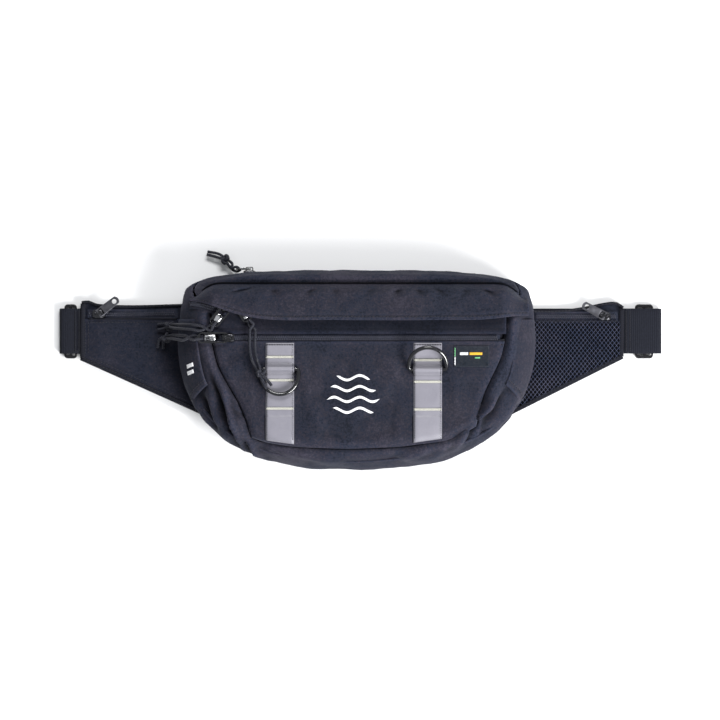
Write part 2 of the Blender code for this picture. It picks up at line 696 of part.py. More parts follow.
def build_sliders():
    """Each zip's sliders, pulls and cords. Heading is a pull's direction about Z, tilt its dip."""
    corded = [
        ("main_left", flat_frame(-111.0, 50.2, ZIP_TOP), 230.0, 6.0, 19.0),
        ("main_right", flat_frame(-99.6, 50.2, ZIP_TOP), 302.0, 4.0, 13.0),
        ("front", flat_frame(-110.0, FRONT_ZIP_Y, ZIP_TOP), 180.0, 4.4, 25.0),
        ("rear", wall_frame(-93.0, REAR_TAPE_Y + 1.0, 14.4), 150.0, 0.0, 12.0),
    ]
    for name, frame, heading, tilt, length in corded:
        slider(f"slider_{name}", frame)
        hung = loop_pull(f"pull_{name}", frame, heading, tilt, length)
        build_cord(name, hung, length)
    wings = [("left", flat_frame(-219.6, 45.5, WING_ZIP_Z), 38.0), ("right", flat_frame(204.6, 43.5, WING_ZIP_Z), 152.0)]
    for side, frame, heading in wings:
        slider(f"slider_wing_{side}", frame)
        tab_pull(f"pull_wing_{side}", frame, heading, -4.0, 21.0)


def main():
    clear_scene()
    build_shell()
    build_back_pad()
    build_flap()
    build_front_pocket()
    build_front_zip()
    build_main_zip()
    build_rear_zip()
    build_wings()
    build_strap("left", -67.0, -61.4, 20.0, -0.4)
    build_strap("right", 55.9, -59.6, 20.0, -1.6)
    build_ring("left", -67.0, -0.4, True, 6.0)
    build_ring("right", 55.9, -1.6, False, 30.0)
    build_label()
    build_side_tabs()
    build_belts()
    build_buckle()
    build_sliders()


main()
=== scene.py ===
"""Looks of the waist pack: cloth, webbing, mesh, zips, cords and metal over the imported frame."""

import contextlib
import functools
import math

import bmesh
import bpy
import numpy as np
from mathutils import Matrix, Vector, noise
from mathutils.bvhtree import BVHTree


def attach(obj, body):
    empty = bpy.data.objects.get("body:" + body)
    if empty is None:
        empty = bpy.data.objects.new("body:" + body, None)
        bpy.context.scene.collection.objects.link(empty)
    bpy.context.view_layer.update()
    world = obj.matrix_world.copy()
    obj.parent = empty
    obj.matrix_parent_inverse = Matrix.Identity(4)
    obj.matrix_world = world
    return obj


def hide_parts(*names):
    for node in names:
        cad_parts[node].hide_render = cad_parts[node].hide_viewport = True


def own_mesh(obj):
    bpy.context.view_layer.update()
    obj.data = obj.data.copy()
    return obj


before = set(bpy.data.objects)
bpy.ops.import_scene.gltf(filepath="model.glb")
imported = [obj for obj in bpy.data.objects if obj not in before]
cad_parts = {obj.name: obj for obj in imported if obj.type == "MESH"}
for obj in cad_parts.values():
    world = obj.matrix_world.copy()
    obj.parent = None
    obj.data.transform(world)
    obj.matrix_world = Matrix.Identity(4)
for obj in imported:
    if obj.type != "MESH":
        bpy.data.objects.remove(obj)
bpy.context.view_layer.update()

MM = 0.001
BODY_X = -3.4
WIDEST_Y = 40.0
BOTTOM_POWER = 2.6
BELT_Y = 31.0
HINGE = Vector((0, 77.8, 20.0))
MOUTH = Vector((0, 53.0, 50.0))
PANEL_Z = 50.3
PIN_HEIGHT = 4.6
BACK_Z = 9.3
BACK_CENTRE = Vector((BODY_X, 20.0, BACK_Z))
MOUTH_LINE = (MOUTH - HINGE).normalized()
MOUTH_NORMAL = Vector((0, MOUTH_LINE.z, -MOUTH_LINE.y))

# The two straps: side, X, the Y of the bar that its D-ring hangs on, the Y of its bartacks.
STRAPS = [("left", -67.0, -0.4, (9.2, -10.1, -33.6)), ("right", 55.9, -1.6, (6.7, -11.4, -34.4))]

# The shell's rings in the frame: height, half width, top reach, bottom reach, top corner power.
RINGS = [
    (9.3, 144.0, 76.6, -78.0, 5.0),
    (13.0, 146.5, 76.8, -81.0, 5.0),
    (19.0, 147.8, 77.0, -83.4, 4.6),
    (24.0, 148.0, 80.0, -84.0, 4.4),
    (32.0, 146.0, 81.6, -82.8, 3.6),
    (41.0, 140.0, 77.5, -78.0, 3.4),
    (47.0, 132.5, 69.0, -72.5, 3.4),
    (50.0, 124.0, 59.0, -66.5, 3.4),
]


# ---------------------------------------------------------------- camera, light and floor


def linked(name, data):
    """A new object in the scene."""
    obj = bpy.data.objects.new(name, data)
    bpy.context.scene.collection.objects.link(obj)
    return obj


def add_camera():
    distance, width = 5.0, 0.6048
    data = bpy.data.cameras.new("camera")
    data.sensor_width = 36.0
    data.lens = 36.0 * distance / width
    data.clip_end = 50.0
    camera = linked("camera", data)
    camera.location = (-0.0004, 0.0067, distance)
    bpy.context.scene.camera = camera


def area_light(name, place, size, power):
    """A soft box that faces the middle of the table."""
    data = bpy.data.lights.new(name, "AREA")
    data.shape = "RECTANGLE"
    data.size, data.size_y = size
    data.energy = power
    light = linked(name, data)
    light.location = place
    light.rotation_euler = (-Vector(place)).to_track_quat("-Z", "Y").to_euler()


def add_stage():
    scene = bpy.context.scene
    scene.view_settings.view_transform = "Standard"
    scene.world = bpy.data.worlds.new("studio")
    scene.world.use_nodes = True
    background = scene.world.node_tree.nodes["Background"]
    background.inputs["Color"].default_value = (0.94, 0.97, 1.0, 1)
    background.inputs["Strength"].default_value = 0.43
    area_light("key", (1.05, -0.95, 1.05), (0.9, 0.72), 65)
    area_light("top", (0.1, 1.15, 1.35), (0.9, 0.5), 27)
    paper = Look("floor_paper", 0.9, specular=0.1, where=None)
    paper.ramp(paper.noise(9, 2, 0.5), [(0, (0.8, 0.8, 0.805)), (1, (0.83, 0.83, 0.835))])
    half = 6000
    corners = [(-half, -half, 0), (half, -half, 0), (half, half, 0), (-half, half, 0)]
    floor = add_mesh("floor", corners, [(0, 1, 2, 3)], paper.material, smooth=False)
    floor.location.z = -0.0002


# ---------------------------------------------------------------- materials


class Look:
    """A Principled material grown node by node over row-frame coordinates."""

    def __init__(self, name, roughness, metallic=0.0, sheen=0.0, specular=0.5, where="Object"):
        self.material = bpy.data.materials.new(name)
        self.material.use_nodes = True
        self.nodes = self.material.node_tree.nodes
        self.link = self.material.node_tree.links.new
        self.shader = self.nodes["Principled BSDF"]
        self.set(
            self.shader,
            **{
                "Roughness": roughness, "Metallic": metallic, "Specular IOR Level": specular,
                "Sheen Weight": sheen, "Sheen Roughness": 0.45,
            },
        )
        self.where = self.nodes.new("ShaderNodeTexCoord").outputs[where] if where else None
        self.normal = None

    def set(self, node, **values):
        """A node's inputs, each linked to a socket or set to a value."""
        for name, value in values.items():
            if isinstance(value, bpy.types.NodeSocket):
                self.link(value, node.inputs[name])
            else:
                node.inputs[name].default_value = value

    def texture(self, kind, **values):
        node = self.nodes.new(kind)
        self.set(node, **values)
        if self.where:
            self.link(self.where, node.inputs["Vector"])
        return node

    def noise(self, scale, detail=3.0, roughness=0.55):
        made = self.texture("ShaderNodeTexNoise", Scale=scale, Detail=detail, Roughness=roughness)
        return made.outputs["Fac"]

    def wave(self, axis, pitch, distortion=0.0):
        """Soft bands across an axis, one every pitch metres."""
        node = self.texture("ShaderNodeTexWave", Scale=0.3142 / pitch, Distortion=distortion)
        node.wave_type = "BANDS"
        node.bands_direction = axis
        return node.outputs["Fac"]

    def math(self, operation, a, b):
        node = self.nodes.new("ShaderNodeMath")
        node.operation = operation
        self.link(a, node.inputs[0])
        if isinstance(b, float):
            node.inputs[1].default_value = b
        else:
            self.link(b, node.inputs[1])
        return node.outputs[0]

    def mixed(self, a, share_a, b, share_b):
        """Two factors added in given shares; a share of None adds the factor whole."""
        if share_a:
            a = self.math("MULTIPLY", a, share_a)
        if share_b:
            b = self.math("MULTIPLY", b, share_b)
        return self.math("ADD", a, b)

    def ramp(self, factor, stops, socket="Base Color"):
        node = self.nodes.new("ShaderNodeValToRGB")
        elements = node.color_ramp.elements
        while len(elements) < len(stops):
            elements.new(0.5)
        for element, (position, value) in zip(elements, stops):
            element.position = position
            element.color = (*value, 1) if isinstance(value, tuple) else (value, value, value, 1)
        self.link(factor, node.inputs["Fac"])
        if socket:
            self.link(node.outputs["Color"], self.shader.inputs[socket])
        return node.outputs["Color"]

    def tones(self, factor, colour, spread, stops=(0.3, 0.5, 0.7)):
        """A darker, a plain and a paler shade of a colour over a factor."""
        shades = [tuple(c * (1 + k * spread) for c in colour) for k in (-1, 0, 1)]
        self.ramp(factor, list(zip(stops, shades)))

    def crease_shade_ridge_wear_highlight(self, colour, dark, bright):
        """The colour, darkened down in the creases as painted shade and made paler along the ridges as wear
        together with painted highlight.
        """
        edge = self.nodes.new("ShaderNodeNewGeometry").outputs["Pointiness"]
        edge = self.ramp(edge, [(0.44, dark), (0.5, 1.0), (0.56, bright)], None)
        node = self.nodes.new("ShaderNodeMix")
        node.data_type = "RGBA"
        node.blend_type = "MULTIPLY"
        node.inputs["Factor"].default_value = 1.0
        self.link(colour, node.inputs[6])
        self.link(edge, node.inputs[7])
        self.link(node.outputs[2], self.shader.inputs["Base Color"])

    def bump(self, height, strength, distance):
        node = self.nodes.new("ShaderNodeBump")
        self.set(node, Height=height, Strength=strength, Distance=distance)
        if self.normal:
            self.link(self.normal, node.inputs["Normal"])
        self.normal = node.outputs["Normal"]
        self.link(self.normal, self.shader.inputs["Normal"])




def weave_look(name, colour, pitch, roughness=0.84, sheen=0.05, specular=0.12):
    """Plain-woven cloth: crossing threads, slubs, patchy colour and a soft sheen."""
    look = Look(name, roughness, sheen=sheen, specular=specular)
    look.shader.inputs["Sheen Tint"].default_value = (0.75, 0.8, 1.0, 1)
    r, g, b = colour
    warm, cool = (r * 1.1, g, b * 0.95), (r * 0.84, g, b * 1.14)
    dark, bright = tuple(c * 0.454 for c in cool), tuple(c * 1.63 for c in warm)
    grain = look.mixed(look.noise(900, 2, 0.7), 0.5, look.noise(420, 2, 0.7), 0.5)
    patch = look.mixed(look.noise(22, 4), 0.36, grain, 0.64)
    stops = [(0.41, dark), (0.475, cool), (0.525, warm), (0.59, bright)]
    # Painted shade in the creases and painted highlight with wear on the ridges, both from the mesh's
    # pointiness.
    look.crease_shade_ridge_wear_highlight(look.ramp(patch, stops, None), 0.28, 1.6)
    rough = [(0.3, roughness - 0.12), (0.7, min(1.0, roughness + 0.08))]
    look.ramp(look.noise(55, 3), rough, "Roughness")
    threads = look.math("MULTIPLY", look.wave("X", pitch), look.wave("Y", pitch))
    look.bump(look.mixed(threads, None, look.wave("Z", pitch), 0.35), 0.35, 0.00025)
    look.bump(look.noise(420, 3), 0.25, 0.0004)
    return look.material


def webbing_look(name, colour, along, across):
    """Narrow woven webbing: ribs across it and a fine grain along it."""
    look = Look(name, 0.78, sheen=0.03, specular=0.14)
    rib = look.wave(along, 0.0016, 1.2)
    look.tones(look.mixed(rib, 0.35, look.noise(600, 3), 0.65), colour, 0.3, (0.3, 0.55, 0.8))
    look.bump(look.mixed(rib, None, look.wave(across, 0.0011, 0.8), 0.6), 0.6, 0.00035)
    return look.material


def metal_look(name, colour, roughness):
    """Plated die-cast metal with faint handling marks."""
    look = Look(name, roughness, metallic=1.0)
    look.tones(look.noise(160, 4), colour, 0.18, (0.35, 0.5, 0.7))
    marks = [(0.4, roughness - 0.06), (0.75, roughness + 0.14)]
    look.ramp(look.noise(320, 5, 0.7), marks, "Roughness")
    look.bump(look.noise(240, 3), 0.05, 0.0004)
    return look.material


def gloss_look(name, colour, roughness):
    """Black enamel over metal: dark, with crisp highlights and faint orange peel."""
    look = Look(name, roughness, specular=0.4)
    look.set(look.shader, **{"Coat Weight": 0.8, "Coat Roughness": 0.06})
    look.tones(look.noise(140, 3), colour, 0.3)
    look.ramp(look.noise(300, 4, 0.7), [(0.4, roughness), (0.75, roughness + 0.14)], "Roughness")
    look.bump(look.noise(380, 2), 0.06, 0.0003)
    return look.material


def insert_glint_look():
    """Bright plated insert whose colour carries painted reflections: dark smears and bright glints."""
    look = Look("insert_painted_reflections", 0.14, metallic=1.0)
    # Painted reflection: near-black to near-white patches in the metal's own colour.
    stops = [(0.42, (0.03, 0.03, 0.035)), (0.5, (0.5, 0.5, 0.52)), (0.56, (0.9, 0.9, 0.92))]
    look.ramp(look.noise(330, 3, 0.6), stops)
    look.ramp(look.noise(260, 3), [(0.3, 0.1), (0.7, 0.24)], "Roughness")
    look.bump(look.noise(300, 2), 0.25, 0.0006)
    return look.material


def plastic_look(name, colour, roughness):
    """Moulded acetal with a fine spark-eroded grain."""
    look = Look(name, roughness, specular=0.28)
    look.tones(look.noise(90, 3), colour, 0.2)
    grain = [(0.3, roughness - 0.05), (0.7, roughness + 0.1)]
    look.ramp(look.noise(1200, 2), grain, "Roughness")
    look.bump(look.noise(1600, 2), 0.2, 0.0002)
    return look.material


def braid_look(name, colour):
    """Braided cord sheath: two crossing sets of slanted bands."""
    look = Look(name, 0.5, sheen=0.05, specular=0.3)
    crossed = look.math("MULTIPLY", look.wave("DIAGONAL", 0.0011, 0.4), look.wave("X", 0.0009, 0.5))
    look.tones(look.mixed(crossed, None, look.noise(700, 2), 0.3), colour, 0.35, (0.2, 0.5, 0.9))
    look.bump(crossed, 0.7, 0.0005)
    return look.material


def reflective_look():
    """Grey retroreflective tape: a glass-bead grain, faint weave and rubbed patches."""
    look = Look("reflective_grey", 0.5, sheen=0.1)
    patch = look.mixed(look.noise(45, 4), 0.7, look.noise(1500, 2), 0.3)
    stops = [(0.3, (0.142, 0.139, 0.166)), (0.5, (0.166, 0.162, 0.19)), (0.72, (0.192, 0.187, 0.216))]
    look.ramp(patch, stops)
    look.ramp(look.noise(70, 3), [(0.3, 0.42), (0.7, 0.6)], "Roughness")
    look.bump(look.mixed(look.wave("Y", 0.0012, 0.5), None, look.noise(1400, 2), None), 0.12, 0.0002)
    return look.material


def thread_look(name, colour):
    look = Look(name, 0.65, sheen=0.1, specular=0.2)
    look.tones(look.noise(1500, 2), colour, 0.2)
    look.bump(look.wave("DIAGONAL", 0.0004), 0.4, 0.0002)
    return look.material


INK = (0.0132, 0.0136, 0.0212)
LOOKS = {
    "shell": weave_look("shell_weave", INK, 0.0007),
    # Near-black lining cloth. It is also used for the strips that stand for shade in the welt valley and the
    # flap fold: painted shade.
    "lining_and_shade": weave_look("lining_and_shade_weave", (0.0022, 0.0023, 0.0034), 0.0004, 0.7, 0.0, 0.03),
    "wing": weave_look("wing_weave", (0.0098, 0.0108, 0.0178), 0.0007),
    # The band's cloth is the shell's cloth painted darker: painted shadow of the flap that hangs over it.
    "band": weave_look("band_weave_painted_shadow", (0.0066, 0.0072, 0.0126), 0.0007),
    "pad": weave_look("pad_knit", (0.009, 0.0095, 0.013), 0.0022, 0.9, 0.08),
    "tape": weave_look("zip_tape_weave", (0.0105, 0.0112, 0.0175), 0.0005, 0.7, 0.05),
    "label": weave_look("label_satin", (0.0085, 0.011, 0.016), 0.00035, 0.5, 0.05),
    "webbing": webbing_look("belt_webbing", (0.0068, 0.0078, 0.0132), "X", "Y"),
    "binding": webbing_look("binding_tape", (0.0068, 0.0074, 0.0122), "Y", "X"),
    "reflective": reflective_look(),
    "coil": plastic_look("zip_coil_nylon", (0.021, 0.0226, 0.0355), 0.44),
    "metal": gloss_look("black_enamel", (0.005, 0.005, 0.007), 0.14),
    "chrome_painted_glints": insert_glint_look(),
    "gunmetal": metal_look("dark_slider", (0.075, 0.075, 0.082), 0.24),
    "tab": metal_look("satin_tab", (0.12, 0.12, 0.135), 0.36),
    "plastic": plastic_look("acetal_black", (0.007, 0.007, 0.009), 0.38),
    "braid": braid_look("cord_braid", (0.0125, 0.0135, 0.0225)),
    "mesh": weave_look("open_mesh_yarn", (0.034, 0.04, 0.07), 0.0005, 0.5, 0.05, 0.3),
    "thread": thread_look("thread_black", (0.0105, 0.011, 0.0165)),
    "tack": thread_look("thread_cream", (0.44, 0.435, 0.39)),
    "print": thread_look("print_white", (0.72, 0.72, 0.74)),
    "amber": thread_look("thread_amber", (0.6, 0.33, 0.03)),
    "green": thread_look("thread_green", (0.12, 0.35, 0.16)),
}


# ---------------------------------------------------------------- mesh helpers


def add_mesh(name, verts, faces, look, smooth=True):
    """An object from points in millimetres of the row frame."""
    mesh = bpy.data.meshes.new(name)
    mesh.from_pydata([tuple(c * MM for c in v) for v in verts], [], faces)
    mesh.update()
    mesh.materials.append(look)
    if smooth:
        mesh.shade_smooth()
    return linked(name, mesh)


def apply_modifiers(obj):
    """Keeps the modified mesh as the object's own."""
    bpy.context.view_layer.update()
    graph = bpy.context.evaluated_depsgraph_get()
    mesh = bpy.data.meshes.new_from_object(obj.evaluated_get(graph), depsgraph=graph)
    obj.modifiers.clear()
    obj.data = mesh
    return obj


def solidify(obj, thickness, offset=-1.0):
    """Gives a sheet the cloth's thickness; its second material, if it has one, lines the inside."""
    made = obj.modifiers.new("cloth thickness", "SOLIDIFY")
    made.thickness = thickness * MM
    made.offset = offset
    made.material_offset = len(obj.data.materials) - 1
    return apply_modifiers(obj)


def smooth_step(low, high, value):
    t = min(1.0, max(0.0, (value - low) / (high - low)))
    return t * t * (3 - 2 * t)


def hill(distance, width):
    """1 at no distance, falling away smoothly over a width."""
    return math.exp(-((distance / width) ** 2))


def ripple(x, y, z=0.0, size=30.0, seed=0.0):
    """Smooth noise of about -1 to 1 with features of a given size in millimetres."""
    return noise.noise(Vector((x / size + seed, y / size - seed, z / size + 2 * seed)))


def quads(rows, columns, closed=False, looped=False, base=0):
    """Faces of a grid listed row by row: closed joins each row's ends, looped the first and last rows."""
    faces = []
    for r in range(rows if looped else rows - 1):
        q = (r + 1) % rows
        for c in range(columns if closed else columns - 1):
            d = (c + 1) % columns
            corners = (r * columns + c, r * columns + d, q * columns + d, q * columns + c)
            faces.append(tuple(base + k for k in corners))
    return faces


def tube_faces(rings, sides, looped=False, base=0):
    """Faces round a tube of rings, its ends capped unless it meets itself."""
    last = base + (rings - 1) * sides
    caps = [tuple(base + k for k in reversed(range(sides))), tuple(range(last, last + sides))]
    return quads(rings, sides, True, looped, base) + ([] if looped else caps)


def sheet_mesh(name, rows, look, closed=False):
    """A grid of points, rows of equal length, as quads."""
    faces = quads(len(rows), len(rows[0]), closed)
    return add_mesh(name, [p for row in rows for p in row], faces, look)


def flat(points):
    """Plan points as vectors on the table."""
    return [Vector((*p, 0)) for p in points]


def straight(start, end, count):
    """Points at even steps between two ends."""
    return [Vector(start).lerp(Vector(end), i / count) for i in range(count + 1)]


def spread(points, step=1.0, count=None):
    """Points at even steps along a polyline: about a step apart, or a count of steps."""
    points = [Vector(p) for p in points]
    lengths = [0.0]
    for a, b in zip(points, points[1:]):
        lengths.append(lengths[-1] + (b - a).length)
    count = count or max(2, round(lengths[-1] / step))
    found, k = [], 0
    for i in range(count + 1):
        at = lengths[-1] * i / count
        while k < len(points) - 2 and lengths[k + 1] < at:
            k += 1
        t = (at - lengths[k]) / max(1e-9, lengths[k + 1] - lengths[k])
        found.append(points[k].lerp(points[k + 1], t))
    return found


def between(a, b, c, d, t):
    """A Catmull-Rom curve's value part of the way from b to c."""
    square, cube = 2 * a - 5 * b + 4 * c - d, 3 * b - a - 3 * c + d
    return 0.5 * (2 * b + (c - a) * t + square * t * t + cube * t**3)


def curved(points, step):
    """A smooth curve through given points, resampled at an even step."""
    route = [Vector(p) for p in points]
    route = [route[0] * 2 - route[1], *route, route[-1] * 2 - route[-2]]
    quartets = zip(route, route[1:], route[2:], route[3:])
    dense = [between(*quartet, i / 10) for quartet in quartets for i in range(10)]
    return spread([*dense, route[-2]], step)


def sweep(name, path, section, look, up=(0, 0, 1), looped=False):
    """A section of (side, up) offsets carried along a path."""
    path = [Vector(p) for p in path]
    rows = []
    for i, point in enumerate(path):
        before = path[i - 1] if i or looped else path[i]
        after = path[(i + 1) % len(path)] if i + 1 < len(path) or looped else path[i]
        along = (after - before).normalized()
        side = along.cross(Vector(up)).normalized()
        lift = side.cross(along)
        rows.append([point + side * s + lift * h for s, h in section])
    return tube(name, rows, look, looped)


def tube(name, rows, look, looped=False):
    """Rings of points as a solid, capped at its ends unless it meets itself."""
    faces = tube_faces(len(rows), len(rows[0]), looped)
    return fix_normals(add_mesh(name, [p for row in rows for p in row], faces, look))


@contextlib.contextmanager
def opened(obj):
    """A piece's mesh open for bmesh operations, and written back after them."""
    bm = bmesh.new()
    bm.from_mesh(obj.data)
    yield bm
    bm.to_mesh(obj.data)
    bm.free()


def fix_normals(obj):
    with opened(obj) as bm:
        bmesh.ops.recalc_face_normals(bm, faces=bm.faces)
    return obj


def circle(radius, sides):
    angles = [2 * math.pi * k / sides for k in range(sides)]
    return [(radius * math.cos(t), radius * math.sin(t)) for t in angles]


def rounded_section(width, thickness):
    """A flat strip's section with rounded edges."""
    r, half = thickness / 2, width / 2 - thickness / 2
    angles = [math.pi * (k / 3 - 0.5) for k in range(4)]
    right = [(half + r * math.cos(a), r * math.sin(a)) for a in angles]
    left = [(-x, -y) for x, y in right]
    across = [half * (1 - 2 * k / 6) for k in range(1, 6)]
    return right + [(x, r) for x in across] + left + [(-x, -r) for x in across]


def stitches(name, path, pitch=3.0, length=2.1, radius=0.34, lift=0.1, lean=0.0, look="thread"):
    """A row of separate raised stitches along a path of millimetre points."""
    verts, faces = [], []
    points = spread(path, pitch)
    for a, b in zip(points, points[1:]):
        along = (b - a).normalized()
        side = along.cross(Vector((0, 0, 1))).normalized()
        up = side.cross(along)
        along = (along + side * lean).normalized()
        middle = (a + b) / 2 + up * lift
        faces += tube_faces(4, 6, base=len(verts))
        for t, r in ((-0.5, 0.45), (-0.3, 1.0), (0.3, 1.0), (0.5, 0.45)):
            for s, h in circle(radius * r, 6):
                verts.append(middle + along * (t * length) + side * s + up * h)
    return add_mesh(name, verts, faces, LOOKS[look])


def join(name, objects):
    """Several meshes as one object, with the first one's material."""
    bm = bmesh.new()
    for obj in objects:
        bm.from_mesh(obj.data)
    mesh = bpy.data.meshes.new(name)
    bm.to_mesh(mesh)
    bm.free()
    mesh.materials.append(objects[0].data.materials[0])
    for obj in objects:
        bpy.data.objects.remove(obj)
    return linked(name, mesh)


def calmed(obj, delta, passes=8):
    """Each point's movement averaged with its neighbours', so that no jitter is left in the cloth."""
    ends = np.empty(2 * len(obj.data.edges), dtype=np.int32)
    obj.data.edges.foreach_get("vertices", ends)
    a, b = ends[0::2], ends[1::2]
    degree = np.maximum(np.bincount(ends, minlength=len(delta)), 1)[:, None]
    for _ in range(passes):
        total = np.zeros_like(delta)
        np.add.at(total, a, delta[b])
        np.add.at(total, b, delta[a])
        delta = 0.5 * delta + 0.5 * total / degree
    return delta


def billow(obj, pinned, swell, pressure, cap):
    """Lets cut cloth buckle and puff between its seams, then keeps the result.

    pinned is a weight per point, swell the cloth's spare length, and cap the most that a point moves, in mm.
    """
    frames = 12
    rest = np.array([v.co for v in obj.data.vertices])
    group = obj.vertex_groups.new(name="seams")
    for i, weight in enumerate(pinned):
        if weight > 0:
            group.add([i], weight, "REPLACE")
    cloth = obj.modifiers.new("cloth", "CLOTH")
    settings = cloth.settings
    settings.quality = 5
    settings.mass = 0.25
    settings.tension_stiffness = settings.compression_stiffness = 12.0
    settings.shear_stiffness = 4
    settings.bending_stiffness = 0.35
    settings.shrink_min = -swell
    settings.vertex_group_mass = "seams"
    settings.pin_stiffness = 1.0
    settings.use_pressure = pressure != 0
    settings.uniform_pressure_force = pressure
    settings.effector_weights.gravity = 0
    cloth.point_cache.frame_end = frames
    for step in range(1, frames + 1):
        bpy.context.scene.frame_set(step)
    settled = obj.evaluated_get(bpy.context.evaluated_depsgraph_get())
    moved = np.array([v.co for v in settled.to_mesh().vertices])
    settled.to_mesh_clear()
    obj.modifiers.remove(cloth)
    bpy.context.scene.frame_set(1)
    delta = calmed(obj, np.nan_to_num(moved - rest))
    size = np.linalg.norm(delta, axis=1, keepdims=True)
    delta *= np.minimum(1.0, cap * MM / np.maximum(size, 1e-9))
    for vertex, place in zip(obj.data.vertices, rest + delta):
        vertex.co = place
    obj.data.update()


def keep(obj, body="pack", nodes=()):
    """Puts a finished piece on its body and the CAD nodes that it stands for."""
    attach(obj, body)
    if nodes:
        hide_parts(*nodes)
    return obj


# ---------------------------------------------------------------- the pack's own surface


def ring_value(ring, x, y):
    """Below 1 inside the ring's outline, above 1 outside it."""
    _, a, top, bottom, power = ring
    u, v = abs(x - BODY_X) / a, y - WIDEST_Y
    if v > 0:
        return u**power + (v / (top - WIDEST_Y)) ** power
    return u**BOTTOM_POWER + (-v / (WIDEST_Y - bottom)) ** BOTTOM_POWER


def surface_height(x, y):
    """Height of the shell's front and shoulders above the table at a plan position."""
    outside = None
    for low, high in reversed(list(zip(RINGS[3:], RINGS[4:]))):
        upper = ring_value(high, x, y)
        if upper <= 1:
            return high[0]
        lower = ring_value(low, x, y)
        if lower <= 1:
            t = (upper - 1) / max(1e-6, upper - lower)
            return high[0] + (low[0] - high[0]) * t ** 1.15
        outside = low[0]
    return outside


def ring_point(ring, turn, scale=1.0):
    z, a, top, bottom, power = ring
    c, s = math.cos(turn), math.sin(turn)
    n = power if s > 0 else BOTTOM_POWER
    reach = top - WIDEST_Y if s > 0 else WIDEST_Y - bottom
    x = a * scale * math.copysign(abs(c) ** (2 / n), c)
    y = WIDEST_Y + reach * scale * math.copysign(abs(s) ** (2 / n), s)
    return Vector((BODY_X + x, y, z))


def blended_ring(at):
    """A ring between the listed ones, at a fractional index, on smooth curves."""
    k = min(int(at), len(RINGS) - 2)
    quartet = [RINGS[max(0, k - 1)], RINGS[k], RINGS[k + 1], RINGS[min(len(RINGS) - 1, k + 2)]]
    return tuple(between(*values, at - k) for values in zip(*quartet))


# The front panel's outline in plan, left side down, bottom edge left to right, right side down.
PANEL_LEFT = [
    (-122.6, 22.4), (-118.0, 4.0), (-112.0, -9.0), (-101.0, -28.0), (-93.8, -45.0), (-90.5, -57.0),
]
PANEL_BOTTOM = [
    (-90.5, -57.0), (-76.0, -61.5), (-50.8, -64.9), (-8.8, -66.4), (33.2, -64.6), (75.2, -58.6), (95.6, -48.0),
]
PANEL_RIGHT = [
    (119.4, 22.4), (116.0, 9.0), (110.6, -3.0), (102.6, -20.0), (98.0, -36.0), (95.6, -48.0),
]
PANEL_EDGE = [*PANEL_LEFT, *PANEL_BOTTOM[1:], *PANEL_RIGHT[-2::-1]]
WELT = flat([(-124.0, 44.0), *PANEL_EDGE, (120.6, 36.0), (121.4, 50.0)])


def line_distance(x, y, line):
    """Distance in plan from a point to a polyline."""
    best = 1e9
    p = Vector((x, y, 0))
    for a, b in zip(line, line[1:]):
        d = b - a
        t = min(1.0, max(0.0, (p - a).dot(d) / max(1e-9, d.length_squared)))
        best = min(best, (a + d * t - p).length)
    return best


def inside(x, y, outline):
    """Whether a plan position lies within a closed outline."""
    hit = False
    for i, a in enumerate(outline):
        b = outline[i - 1]
        if (a.y > y) != (b.y > y) and x < (b.x - a.x) * (y - a.y) / (b.y - a.y) + a.x:
            hit = not hit
    return hit




# Pleats and creases in the gusset: start, end, height, width, all in plan millimetres.
FOLDS = [
    ((-117, -14), (-97, -64), 4.6, 3.0),
    ((-126, -22), (-113, -56), 3.4, 3.4),
    ((-110, -38), (-84, -73), 3.8, 2.8),
    ((-121.5, -12), (-105, -56), -4.4, 2.4),
    ((-103, -46), (-90, -71), -4.4, 2.2),
    ((-112, -24), (-100, -40), -3.0, 2.2),
    ((-138, -30), (-120, -50), 2.2, 3.4),
    ((-131, -26), (-119, -52), -2.6, 2.4),
    ((111, -27), (82, -59), 4.4, 3.4),
    ((118, -22), (102, -50), -5.0, 2.8),
    ((106, -38), (88, -58), -3.4, 2.2),
    ((127, -28), (110, -52), 3.4, 3.8),
    ((96, -42), (68, -65), 2.8, 3.0),
    ((60, -66), (34, -74), 1.8, 3.2),
    ((-60, -68), (-20, -76), 1.6, 3.4),
    ((-150, 30), (-128, 24), 1.6, 3.6),
    ((138, 20), (128, -4), 1.9, 4.0),
    ((127, 40), (124, 8), 2.2, 4.0),
    ((133, 14), (124, -16), -2.0, 3.0),
]


# The piping seam round the lower gusset, right to left.
PIPING = flat([
    (130, -32), (117, -44), (98.6, -56.3), (74.3, -65.5), (40.5, -74), (0, -77.5),
    (-40, -76), (-75, -70), (-100, -60), (-120, -46), (-132, -34),
])


def fold_height(x, y):
    """The sum of the pleats' ridges and valleys at a plan position."""
    total = 0.0
    for (ax, ay), (bx, by), height, width in FOLDS:
        dx, dy = bx - ax, by - ay
        length = math.hypot(dx, dy)
        t = ((x - ax) * dx + (y - ay) * dy) / (length * length)
        if -0.3 < t < 1.3:
            across = ((x - ax) * dy - (y - ay) * dx) / length + 1.4 * ripple(x, y, 0, 22, 5)
            taper = smooth_step(-0.3, 0.25, t) * (1 - smooth_step(0.75, 1.3, t))
            total += height * taper * hill(across, width)
    return total


